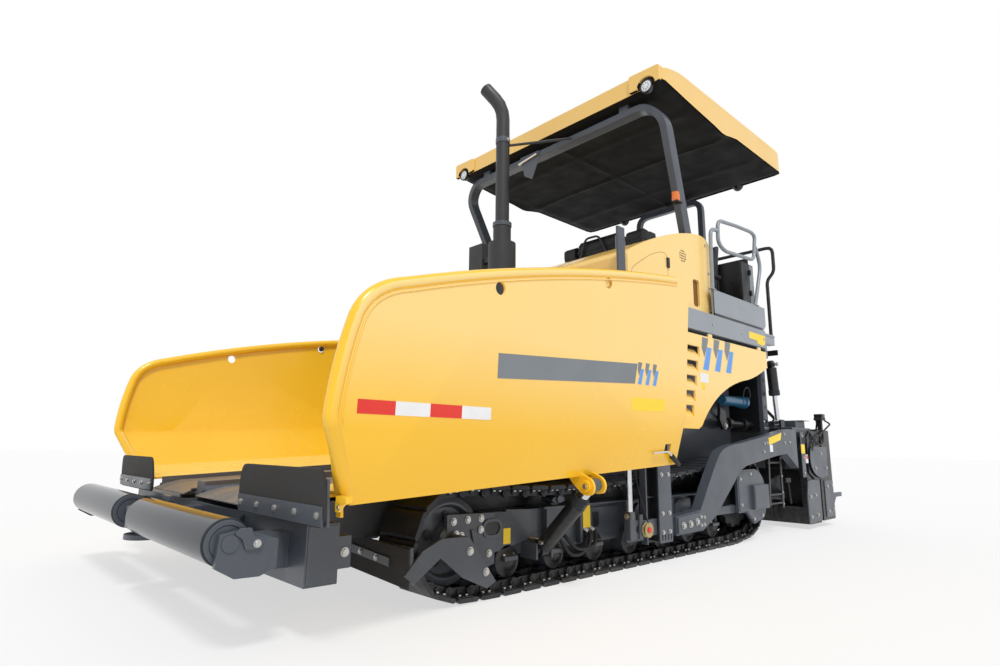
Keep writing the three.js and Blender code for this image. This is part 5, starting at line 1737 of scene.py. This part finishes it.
# -------------------- body
@dataclass(frozen=True)
class Body:
    """The tractor body: frame, engine, masts, deck, bonnet, side panels and service doors."""

    door_near: float = 1.211
    door_far: float = 1.231
    louvres: tuple[float, ...] = (1.5, 1.385, 1.27, 1.155, 1.045)
    panel: float = 1.15
    crown: tuple[Pair, Pair, Pair] = ((0.43, 2.14), (-0.06, 2.4), (-0.48, 2.478))

    @staticmethod
    def wheel_arch() -> list[Pair]:
        """The door's lower rear edge, from the rear to the front."""
        return [*bow((-1.546, 1.458), (-1.274, 1.332), (-1.05, 1.302), 8)[1:],
                *bow((-1.05, 1.302), (-0.56, 1.202), (-0.314, 0.906), 14)[1:]]

    def frame_work(self) -> None:
        """Frame, engine, service gear, hoses, rear closing plate and lift masts."""
        for name, finish, node in (("frame_welded", STEEL, "main_frame"), ("engine_block", BLACK, "engine")):
            Piece.copied(name, "chassis", finish, node, 0.004).close()
        service = Piece("service_gear_{}", "chassis", BLACK)
        service.block((-1.86, 0.6, 0.9), (-1.1, 0.62, 1.6), 0.004)
        service.rod((-1.24, 0.9, 0.965), (-1.86, 0.9, 0.965), 0.032)
        service.ring((-1.36, 0.9, 0.965), (-1.42, 0.9, 0.965), 0.052, 0.031)
        service.ring((-1.66, 0.9, 0.965), (-1.72, 0.9, 0.965), 0.052, 0.031)
        service.plate(
            eased([(-1.16, 1.1), (-1.26, 1.06), (-1.27, 0.9), (-1.2, 0.9), (-1.14, 0.99)], 0.02, 4, True),
            Axis.Y, 0.93, 0.955, 0.003,
        )
        service.use(BOLT).bolt((-1.235, 0.955, 0.935), LEFT, 0.018)
        service.use(CANISTER).lathe((-1.2, 0.95, 1.165), (-1.68, 0.95, 1.165), [
            (0, 0), (0, 0.04), (0.01, 0.046), (0.33, 0.046), (0.335, 0.054), (0.352, 0.054), (0.357, 0.046),
            (0.4, 0.046), (0.405, 0.058), (0.44, 0.058), (0.446, 0.046), (0.47, 0.036), (0.48, 0),
        ], 32)
        service.use(ROLLER).pipe([
            (-1.54, 0.985, 1.19), (-1.55, 1.0, 1.285), (-1.64, 1.0, 1.31), (-1.7, 0.99, 1.23),
            (-1.68, 0.96, 1.16),
        ], 0.007, 0.05)
        service.use(HOSE).pipe(
            [(-1.22, 0.9, 1.34), (-1.3, 0.88, 1.24), (-1.32, 0.86, 1.05), (-1.4, 0.8, 0.99)], 0.014, 0.06,
        )
        service.close()
        hose = Piece("screed_hose_{}", "chassis", HOSE)
        hose.across = ("screed", (-1.97, 0.9, 1.16), (-2.31, 0.96, 1.03))
        hose.pipe(
            [(-1.95, 0.9, 1.2), (-2.1, 0.92, 1.16), (-2.26, 0.95, 1.06), (-2.32, 0.96, 1.019)], 0.015, 0.06,
        )
        hose.close()
        rear = Piece("rear_closing_plate", "chassis", BLACK)
        rear.block((-1.859, -0.995, 0.9), (-1.848, 0.995, 1.632), 0.003)
        for y in (-0.6, -0.2, 0.2, 0.6):
            rear.block((-1.885, y - 0.02, 0.92), (-1.859, y + 0.02, 1.68), 0.004)
        rear.use(BOLT).bolts(
            [(-1.861, y, z) for y in (-0.9, -0.4, 0.0, 0.4, 0.9) for z in (0.94, 1.66)], (-1, 0, 0), 0.01,
        )
        rear.close()
        mast = Piece.copied("lift_mast_post_{}", "chassis", STEEL, "lift_mast_{}", 0.003)
        for i in range(4):
            z = 1.0 + 0.13 * i
            mast.use(BLACK).rod((-1.91, 1.0295, z), (-1.91, 1.0312, z), 0.02, edge=0.0)
        mast.use(BOLT).bolts([(-1.885, 1.03, 0.93), (-1.935, 1.03, 0.93)], LEFT, 0.011)
        mast.close()

    def deck(self) -> None:
        """Platform with its light grey side bands."""
        deck = Piece.copied("platform_deck", "chassis", PALE, "deck", 0.003)
        for side in (-1, 1):
            y = side * 1.235
            deck.use(BOLT).bolts(
                [(x, y, 1.715) for x in (0.43, -0.05, -0.56, -1.07, -1.5)], (0, side, 0), 0.008,
            )
            dark = sorted((side * 1.2052, side * 1.2068))
            deck.use(BLACK).block((-1.56, dark[0], 1.795), (-0.646, dark[1], 1.83), 0.0)
            deck.block((-0.66, dark[0], 1.795), (-0.646, dark[1], 2.03), 0.0)
            steps = [
                (-1.206, 1.749), (-1.533, 1.745), (-1.521, 1.671), (-1.468, 1.649), (-1.361, 1.661),
                (-1.364, 1.684), (-1.206, 1.69),
            ]
            low, high = sorted((y, y + side * 0.0012))
            deck.use(LABEL).plate(steps, Axis.Y, low, high, 0.0)
            low, high = sorted((side * 0.96, side * 1.1))
            deck.use(BLACK).block((-2.141, low, 1.652), (-2.128, high, 1.706), 0.003)
            deck.use(RED).block((-2.146, low + 0.008, 1.66), (-2.14, (low + high) / 2, 1.698), 0.002)
            deck.use(AMBER).block(
                (-2.146, (low + high) / 2 + 0.004, 1.66), (-2.14, high - 0.008, 1.698), 0.002,
            )
        deck.close()

    def hood(self) -> None:
        """Bonnet and the flanking upper panels."""
        hood = Piece.copied("bonnet_skin", "chassis", TAN, "hood", 0.006)
        for y in (-0.42, 0.42):
            hood.use(BLACK).sweep([(x, y, z + 0.0008) for x, z in bow(*self.crown, 10)],
                                  [(-0.003, -0.001), (0.003, -0.001), (0.003, 0.001), (-0.003, 0.001)], LEFT)
        hood.close()
        # The panel takes the painted highlight: paler with height.
        panel = Piece("upper_side_panel_{}", "chassis", PAINTED_HIGHLIGHT_YELLOW, "upper_panel_{}")
        y = self.panel
        face = [
            (-0.738, 1.7955), (0.474, 1.7955), (0.474, 2.08),
            *bow((0.474, 2.08), (0.464, 2.11), (0.43, 2.14), 4)[1:], *bow(*self.crown, 14)[1:],
            *bow((-0.48, 2.478), (-0.7, 2.52), (-0.738, 2.42), 8)[1:],
        ]
        panel.plate(face, Axis.Y, 1.1305, y, 0.004, [oblong(-0.53, -0.43, 1.861, 2.086, 0.024)])
        seam = eased([
            (0.44, 1.84), (0.44, 1.985), (0.318, 2.065), (0.174, 2.15), (0.04, 2.203), (-0.05, 2.206),
            (-0.056, 2.12), (-0.06, 1.84),
        ], 0.06, 5, True)
        panel.use(JOINT_AND_SHADE_YELLOW).sweep(
            [(a, y + 0.0001, b) for a, b in [*seam, seam[0]]],
            [(-0.0014, -0.0005), (0.0014, -0.0005), (0.0014, 0.0005), (-0.0014, 0.0005)], UP,
        )
        for i in range(5):
            for k in range(5):
                if (i - 2) ** 2 + (k - 2) ** 2 < 7:
                    x, z = -0.289 + (i - 2) * 0.021, 2.243 + (k - 2) * 0.021
                    panel.use(BLACK).rod((x, y - 0.001, z), (x, y + 0.001, z), 0.0065, sides=10, edge=0.0)
        panel.use(PLASTIC).block((-0.074, y, 2.095), (-0.04, y + 0.012, 2.175), 0.004)
        panel.use(BOLT).bolts([(-0.66, y, 2.42), (-0.7, y, 2.18), (-0.7, y, 1.86)], LEFT, 0.009)
        # Painted shade: a dark yellow sheet behind the slot.
        panel.use(JOINT_AND_SHADE_YELLOW).block((-0.545, 1.129, 1.85), (-0.415, 1.1312, 2.098), 0.0)
        panel.close()
        post = Piece("guard_post_{}", "chassis", STEEL)
        post.plate(oblong(0.508, 0.592, 1.79, 2.264, 0.006), Axis.Y, 1.14, 1.156, 0.002)
        post.block((0.5, 1.1, 1.789), (0.6, 1.17, 1.801), 0.002)
        post.close()

    def door(self) -> None:
        """Service door with hooded louvres, strokes, hinges and blank plates."""
        # The door takes the painted highlight: paler towards its top.
        door = Piece("service_door_{}", "side_door_{}", PAINTED_HIGHLIGHT_YELLOW, "side_door_{}")
        outline = [
            (0.462, 0.88), (0.462, 1.602), (-1.546, 1.602), (-1.546, 1.458), *self.wheel_arch(),
            (-0.262, 0.88),
        ]
        slots = [oblong(-0.33 + 0.032 * i, 0.09, z - 0.074, z + 0.006) for i, z in enumerate(self.louvres)]
        door.plate(outline, Axis.Y, self.door_near, self.door_far, 0.004, slots)
        face = self.door_far
        for i, z in enumerate(self.louvres):
            slat = [
                (face - 0.002, z - 0.076), (face - 0.042, z - 0.016), (face - 0.046, z - 0.016),
                (face - 0.01, z - 0.078),
            ]
            door.plate(slat, Axis.X, -0.328 + 0.032 * i, 0.088, 0.0)
        lip = [(0.0, -0.013), (0.008, -0.013), (0.008, 0.085), (0.0, 0.085)]
        door.sweep([(a, face - 0.016, b) for a, b in self.wheel_arch()], lip, UP)
        for x in (-1.4, -0.51, 0.3):
            door.use(BOLT).rod((x - 0.034, 1.223, 1.6274), (x + 0.034, 1.223, 1.6274), 0.0085)
            door.use(PAINTED_HIGHLIGHT_YELLOW).block((x - 0.03, 1.216, 1.598), (x + 0.03, 1.2325, 1.625), 0.002)
        door.use(PLASTIC).rod((0.4, face, 1.12), (0.4, face + 0.01, 1.12), 0.021, edge=0.003)
        mark_strokes(door, Axis.Y, face, lambda a, b: (-0.362 - 0.56 * a, 1.33 + 0.015 * a + 0.26 * b))
        door.use(WHITE).block((-0.44, face, 1.235), (-0.32, face + 0.0009, 1.305), 0.0)
        door.use(LABEL).block((-0.38, face, 1.18), (-0.335, face + 0.0009, 1.232), 0.0)
        door.use(LABEL).block((0.18, face, 1.46), (0.27, face + 0.0009, 1.53), 0.0)
        door.block((-0.05, face, 0.94), (0.04, face + 0.0009, 1.0), 0.0)
        door.close()

    def build(self) -> None:
        """Makes the whole body."""
        self.frame_work()
        self.deck()
        self.hood()
        self.door()


# -------------------- operator's platform
@dataclass(frozen=True)
class Station:
    """Console, seats, bulkhead and rails."""

    rail_y: float = 1.195
    rail_tube: float = 0.0165
    cushion: tuple[Triple, Triple] = ((-1.52, 0.43, 2.106), (-1.085, 0.85, 2.228))
    backrest: tuple[Triple, Triple] = ((-1.545, 0.44, 2.215), (-1.445, 0.84, 2.715))
    back_lean: float = 0.058

    def console(self) -> None:
        """Stepped ribbed console with panel, screens, levers and grab handle."""
        console = Piece("control_console", "chassis", PLASTIC, "console")
        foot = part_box("console")[0].z
        console.plate(oblong(-1.0, -0.78, -0.42, 0.42, 0.03), Axis.Z, foot, 2.565, 0.006)
        for i in range(9):
            z = 1.86 + 0.072 * i
            console.block((-0.781, -0.385, z), (-0.774, 0.385, z + 0.03), 0.002)
            console.block((-1.006, -0.385, z), (-0.999, 0.385, z + 0.03), 0.002)
        console.plate(
            [(-0.772, 2.555), (-0.765, 2.64), (-1.06, 2.64), (-1.045, 2.555)], Axis.Y, -0.465, 0.475, 0.008,
        )
        tall = eased([
            (-0.768, 2.635), (-0.755, 2.69), (-0.755, 2.775), (-0.8, 2.832), (-1.0, 2.815), (-1.065, 2.74),
            (-1.065, 2.635),
        ], 0.02, 4, True)
        console.plate(tall, Axis.Y, -0.29, 0.177, 0.01)
        console.plate(
            [(-0.75, 2.696), (-0.75, 2.716), (-1.07, 2.716), (-1.07, 2.696)], Axis.Y, -0.297, 0.184, 0.004,
        )
        low = eased(
            [(-0.765, 2.635), (-0.752, 2.69), (-0.752, 2.762), (-0.8, 2.795), (-1.02, 2.76), (-1.04, 2.635)],
            0.02, 4, True,
        )
        console.plate(low, Axis.Y, 0.3, 0.478, 0.01)
        console.plate(
            [(-0.747, 2.69), (-0.747, 2.708), (-1.045, 2.708), (-1.045, 2.69)], Axis.Y, 0.294, 0.48, 0.003,
        )
        console.plate(low, Axis.Y, -0.478, -0.33, 0.01)
        console.use(PALE).block((-0.79, 0.178, 2.63), (-0.748, 0.216, 2.782), 0.004)
        console.block((-0.79, 0.225, 2.56), (-0.76, 0.292, 2.7), 0.004)
        console.use(HEAT).pipe(
            [(-0.745, -0.249, 2.61), (-0.722, -0.166, 2.825), (-0.722, 0.0, 2.82), (-0.745, 0.09, 2.61)],
            0.011, 0.05,
        )
        for y in (-0.06, 0.39):
            console.use(HEAT).block((-1.03, y - 0.09, 2.772), (-0.93, y + 0.07, 2.8), 0.004)
        for i in range(6):
            console.use(PALE).rod(
                (-1.05, -0.4 + 0.15 * i, 2.64), (-1.078, -0.4 + 0.15 * i, 2.7), 0.012, edge=0.003,
            )
        console.close()

    def seats(self) -> None:
        """Two seats: pedestal, shell and crowned pads."""
        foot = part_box("seat_left")[0].z
        base = Piece("seat_pedestal_{}", "chassis", BLACK, "seat_{}")
        base.plate(oblong(-1.5, -1.18, 0.56, 0.7, 0.02), Axis.Z, foot, foot + 0.02, 0.003)
        base.block((-1.45, 0.58, foot + 0.015), (-1.24, 0.68, 2.085), 0.012)
        for i in range(7):
            z = 1.86 + 0.03 * i
            base.use(RUBBER).block((-1.475, 0.565, z), (-1.215, 0.695, z + 0.02), 0.008)
        base.use(BLACK).plate(oblong(-1.52, -1.09, 0.435, 0.845, 0.05), Axis.Z, 2.082, 2.112, 0.008)
        base.plate([(-1.535, 2.1), (-1.49, 2.1), (-1.54, 2.68), (-1.558, 2.68)], Axis.Y, 0.46, 0.82, 0.004)
        for y in (0.405, 0.875):
            base.use(VINYL).block((-1.45, y - 0.024, 2.33), (-1.16, y + 0.024, 2.368), 0.012)
            base.use(BLACK).rod((-1.43, y, 2.1), (-1.42, y, 2.335), 0.011)
        base.close()
        self.pad("seat_cushion_{}", *self.cushion, 0.0)
        self.pad("seat_backrest_{}", *self.backrest, self.back_lean)

    def pad(self, name: str, low: Point, high: Point, lean: float) -> None:
        """A crowned pad with a sewn channel, smoothed by subdivision.

        Args:
            name: The pieces' name, with {} for the side.
            low: Lowest corner.
            high: Highest corner.
            lean: How far its top leans back.
        """
        low, high = Vector(low), Vector(high)
        size = high - low
        thin = min(range(3), key=lambda i: size[i])
        wide = [i for i in range(3) if i != thin]
        seam_depth, seam_at, seam_width = 0.1, 0.55, 0.06
        pad = Piece(name, "chassis", VINYL)
        part = bmesh.new()
        bmesh.ops.create_cube(part, size=1.0)
        bmesh.ops.subdivide_edges(part, edges=part.edges[:], cuts=11, use_grid_fill=True)
        for corner in part.verts:
            a, b = (corner.co[i] * 2 for i in wide)
            crown = (1 - a * a) * (1 - b * b)
            depth = corner.co[thin] * 2
            channel = sum(seam_depth * math.exp(-((abs(c) - seam_at) / seam_width) ** 2) for c in (a, b))
            full = 0.62 + 0.38 * crown ** 0.35 - channel * (1 if depth > 0.9 else 0)
            for i, other in zip(wide, (b, a)):
                corner.co[i] *= 1 - 0.05 * (1 - other * other) - 0.1 * abs(depth) ** 3 * (1 - crown)
            corner.co[thin] *= full if depth > 0 or lean else 1.0
        for corner in part.verts:
            corner.co = Vector(c * s for c, s in zip(corner.co, size * 0.98)) + (low + high) / 2
            corner.co.x -= lean * ((corner.co.z - low.z) / size.z)
        pad.take(part)
        for piece in pad.close():
            smooth = piece.modifiers.new("crown", "SUBSURF")
            smooth.levels = smooth.render_levels = 1

    def bulkhead(self) -> None:
        """Panel behind the seats, with light grey end columns and dark hinges."""
        wall = Piece.copied("platform_bulkhead", "chassis", BLACK, "seat_bulkhead", 0.003)
        for side in (-1, 1):
            y = side * 1.122
            low, high = sorted((side * 1.094, y))
            wall.use(PALE).block((-1.642, low, 1.8), (-1.56, high, 2.458), 0.003)
            for z in (1.95, 2.15, 2.35):
                wall.use(HOSE).block(
                    (-1.575, min(y, y + side * 0.01), z), (-1.548, max(y, y + side * 0.01), z + 0.05), 0.002,
                )
        wall.close()

    def rails(self) -> None:
        """Side guard rails and the rear rail."""
        rail = Piece("guard_rail_tube_{}", "chassis", PALE, "guard_rail_{}")
        y = self.rail_y
        for path in ([(-0.664, 2.031), (-0.678, 2.434), (-0.69, 2.566), (-0.82, 2.582)], [
            (-1.17, 2.719), (-1.48, 2.742), (-1.562, 2.722), (-1.505, 2.47), (-0.93, 2.424), (-0.812, 2.47),
            (-0.828, 2.68), (-1.17, 2.719),
        ], [(-1.47, 2.031), (-1.64, 2.44), (-1.57, 2.59), (-1.54, 2.62)]):
            rail.pipe([(a, y, b) for a, b in path], self.rail_tube, 0.075)
        for x in (-0.664, -1.48):
            rail.block((x - 0.04, 1.178, 2.03), (x + 0.04, 1.212, 2.038), 0.002)
        rail.use(BOLT).bolts([(-0.64, 1.195, 2.038), (-1.455, 1.195, 2.038)], UP, 0.008)
        rail.close()
        Piece.copied("rear_rail_tube", "chassis", HEAT, "rear_rail", 0.0).close()

    def build(self) -> None:
        """Makes the whole platform."""
        self.console()
        self.seats()
        self.bulkhead()
        self.rails()


# -------------------- roof and exhaust
@dataclass(frozen=True)
class Roof:
    """Arches, canopy shell with its dark lining and lamps, and the exhaust."""

    lamp_y: float = 1.125
    rear_lamps: Pair = (0.78, -0.7)
    inset: float = 0.016

    def arches(self) -> None:
        """Front arch with beacon, pads, hanging plate and mirror stay, and the rear arch."""
        front = Piece.copied("front_arch_tube", "chassis", STEEL, "front_arch", 0.006)
        front.use(AMBER).lathe(
            (-0.246, 1.136, 2.782), (-0.262, 1.13, 2.706),
            [(0, 0), (0, 0.022), (0.008, 0.03), (0.06, 0.033), (0.078, 0.03), (0.078, 0)], 24,
        )
        front.use(HOSE).block((-0.32, 1.104, 2.692), (-0.232, 1.158, 2.706), 0.003)
        front.use(STEEL)
        for y in (-0.85, 0.85):
            front.block((-0.03, y - 0.045, 3.49), (0.03, y + 0.045, 3.545), 0.004)
        front.plate(
            [(-0.353, 3.51), (-0.11, 3.505), (-0.095, 3.446), (-0.194, 3.24), (-0.294, 3.3)], Axis.X, 0.03,
            0.036, 0.002,
        )
        front.use(CHROME).rod((0.045, -0.36, 3.44), (0.045, -0.12, 3.47), 0.012)
        front.close()
        Piece.copied("rear_arch_tube", "chassis", STEEL, "rear_arch", 0.005).close()

    def canopy(self) -> None:
        """Ochre shell, black ribbed lining, lamps and cable loops."""
        low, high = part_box("canopy")
        shell = Piece("canopy_shell", "chassis", TAN, "canopy")
        shell.take(self.form(low, high))
        for side in (-1, 1):
            bite = arc((side * self.lamp_y, LAMP_Z), 0.084, 180, 0, 14)
            left, right = sorted((side * 0.966, side * 1.2495))
            outline = eased(
                [(left, LAMP_Z), *bite, (right, LAMP_Z), (right, 3.708), (left, 3.716)], 0.024, 4, True,
            )
            shell.use(TAN).plate(outline, Axis.X, high.x - 0.01, high.x + 0.022, 0.006)
            shell.block((high.x - 0.3, left, 3.66), (high.x + 0.004, right - 0.006, 3.724), 0.026)
            # Painted shade: dark half-discs in the lamp recesses, front and rear.
            recess = [(a, b + 0.0005) for a, b in arc((side * self.lamp_y, LAMP_Z), 0.086, 180, 0, 14)]
            shell.use(LINING_BLACK_AND_SHADE).plate(recess, Axis.X, high.x - 0.001, high.x + 0.0015, 0.0)
            for y in self.rear_lamps:
                rear = arc((y, LAMP_Z), 0.075, 180, 0, 14)
                shell.plate(rear, Axis.X, low.x - 0.0015, low.x + 0.001, 0.0)
        # Painted shade: the shell's down-facing faces take the near-black.
        shell.paint(LINING_BLACK_AND_SHADE, lambda at, way: way.z < -0.3 and at.z < 3.62)
        shell.close()
        self.lining(low, high)
        self.lamps(low, high)

    @staticmethod
    def rim(x: float, edge: float = 1.0) -> float:
        """Height of the shell's lower edge, which dips beside the platform.

        Args:
            x: Distance along the machine.
            edge: 1 at the shell's sides, and less inside.

        Returns:
            The height.
        """
        level = 3.56
        line = (
            (0.094, 3.606), (-0.356, 3.561), (-0.787, 3.524), (-0.941, 3.503), (-1.06, 3.53),
            (-1.195, 3.556), (-2.21, 3.553),
        )
        for (x0, z0), (x1, z1) in zip(line, line[1:]):
            if x >= x1:
                t = min(max((x0 - x) / (x0 - x1), 0.0), 1.0)
                return level + (z0 + (z1 - z0) * t - level) * edge
        return line[-1][1]

    def form(self, low: Vector, high: Vector) -> bmesh.types.BMesh:
        """The closed shell: crowned top, round corners and a lower edge that dips beside the platform.

        Args:
            low: Lowest corner of the shell.
            high: Highest corner of the shell.

        Returns:
            The body, ready to be taken by a piece.
        """
        part = bmesh.new()
        bmesh.ops.create_cube(part, size=2.0)
        bmesh.ops.subdivide_edges(part, edges=part.edges[:], cuts=31, use_grid_fill=True)
        middle, half = (low + high) / 2, (high - low) / 2
        bend = 0.055
        for corner in part.verts:
            a, b, c = corner.co
            shift = Vector((a * half.x, b * half.y))
            core = Vector((
                min(max(shift.x, bend - half.x), half.x - bend),
                min(max(shift.y, bend - half.y), half.y - bend),
            ))
            if (shift - core).length > bend:
                shift = core + (shift - core).normalized() * bend
            front = max((a - 0.7) / 0.3, 0.0)
            back = max((-a - 0.85) / 0.15, 0.0)
            side = max((abs(b) - 0.9) / 0.1, 0.0)
            top = high.z - 0.082 * front ** 1.6 - 0.03 * back ** 2 - 0.022 * side ** 2
            inside = min((1 - max(abs(a), abs(b))) / 0.05, 1.0)
            foot = self.rim(middle.x + shift.x, max((abs(b) - 0.92) / 0.08, 0.0)) + 0.05 * inside
            corner.co = Vector((middle.x + shift.x, shift.y, foot + (top - foot) * (c + 1) / 2))
        return part

    def lining(self, low: Vector, high: Vector) -> None:
        """The black moulded sheet under the shell, with ribs across and along; its near-black is partly
        painted shade.

        Args:
            low: Lowest corner of the shell.
            high: Highest corner of the shell.
        """
        part = bmesh.new()
        middle, half = (low + high) / 2, (high - low) / 2
        bmesh.ops.create_grid(part, x_segments=60, y_segments=60, size=1.0)
        for corner in part.verts:
            a, b = corner.co.x, corner.co.y
            dome = (1 - a ** 4) * (1 - b ** 4)
            across = sum(math.exp(-(((a - at) * half.x) / 0.028) ** 2) for at in (-0.55, 0.0, 0.55))
            along = math.exp(-((b * half.y) / 0.03) ** 2)
            edge = max(abs(a), abs(b))
            rim = 0.5 - 0.5 * math.cos(math.pi * min(max((1 - edge) / 0.1, 0), 1))
            x = middle.x + a * (half.x - self.inset)
            brink = self.rim(x, max((abs(b) - 0.92) / 0.08, 0.0)) + 0.004
            z = brink + rim * (low.z + 0.022 + 0.036 * dome - 0.014 * max(across, along) - brink)
            corner.co = Vector((x, b * (half.y - self.inset), z))
        bmesh.ops.solidify(part, geom=part.faces[:], thickness=-0.004)
        lining = Piece("canopy_lining", "chassis", LINING_BLACK_AND_SHADE)
        lining.take(part)
        lining.close()

    def lamps(self, low: Vector, high: Vector) -> None:
        """Round work lamps at the corners, with their orange cables.

        Args:
            low: Lowest corner of the shell.
            high: Highest corner of the shell.
        """
        lamps = Piece("canopy_lamps", "chassis", BLACK)
        for x, way, y in (
            (high.x + 0.018, 1, self.lamp_y), (high.x + 0.018, 1, -self.lamp_y),
            *((low.x - 0.012, -1, y) for y in self.rear_lamps),
        ):
            back = x - way * 0.066
            z = 3.569
            profile = [
                (0, 0), (0, 0.03), (0.02, 0.048), (0.05, 0.056), (0.066, 0.056), (0.066, 0.048),
                (0.06, 0.046), (0.06, 0),
            ]
            lamps.use(BLACK).lathe((back, y, z), (x, y, z), profile, 32)
            lamps.use(LENS).lathe(
                (back + way * 0.056, y, z), (x, y, z),
                [(0, 0), (0, 0.046), (0.006, 0.045), (0.01, 0.036), (0.011, 0)], 32,
            )
            for i in range(8):
                a = math.tau * i / 8
                spot = Vector((back + way * 0.064, y + 0.026 * math.cos(a), z + 0.026 * math.sin(a)))
                lamps.use(PALE).rod(spot, spot + Vector((way * 0.003, 0, 0)), 0.006, sides=10, edge=0.0)
            inward = -1 if y > 0 else 1
            loop = [
                (back, y, z), (back - way * 0.05, y + inward * 0.04, 3.552),
                (back - way * 0.04, y + inward * 0.11, 3.548), (back - way * 0.11, y + inward * 0.15, 3.545),
                (back - way * 0.1, y + inward * 0.23, 3.552), (back - way * 0.16, y + inward * 0.26, 3.59),
            ]
            lamps.use(WIRE).pipe(loop, 0.007, 0.05)
        lamps.close()

    def exhaust(self) -> None:
        """Muffler with its heat shield, and the tall pipe with stay and clamps."""
        pipe = Piece.copied("exhaust_stack", "chassis", HEAT, "exhaust", 0.002)
        pipe.use(STEEL).ring((0.62, 0.016, 3.3), (0.62, 0.016, 3.345), 0.0625, 0.056, 36, 0.002)
        pipe.ring((0.62, 0.016, 2.545), (0.62, 0.016, 2.58), 0.08, 0.07, 36, 0.002)
        pipe.use(BOLT).bolt((0.62, 0.078, 3.322), LEFT, 0.01)
        pipe.close()

    def build(self) -> None:
        """Makes the roof and the exhaust."""
        self.arches()
        self.canopy()
        self.exhaust()


def main() -> None:
    """Builds the stage and every sub-assembly."""
    logging.basicConfig(level=logging.INFO, format="%(message)s", stream=sys.stdout)
    Stage().build()
    for assembly in (Hopper(), PushGear(), Crawler(), TowGear(), Screed(), Body(), Station(), Roof()):
        LOG.info("%s", type(assembly).__name__)
        assembly.build()


if __name__ == "__main__":
    main()
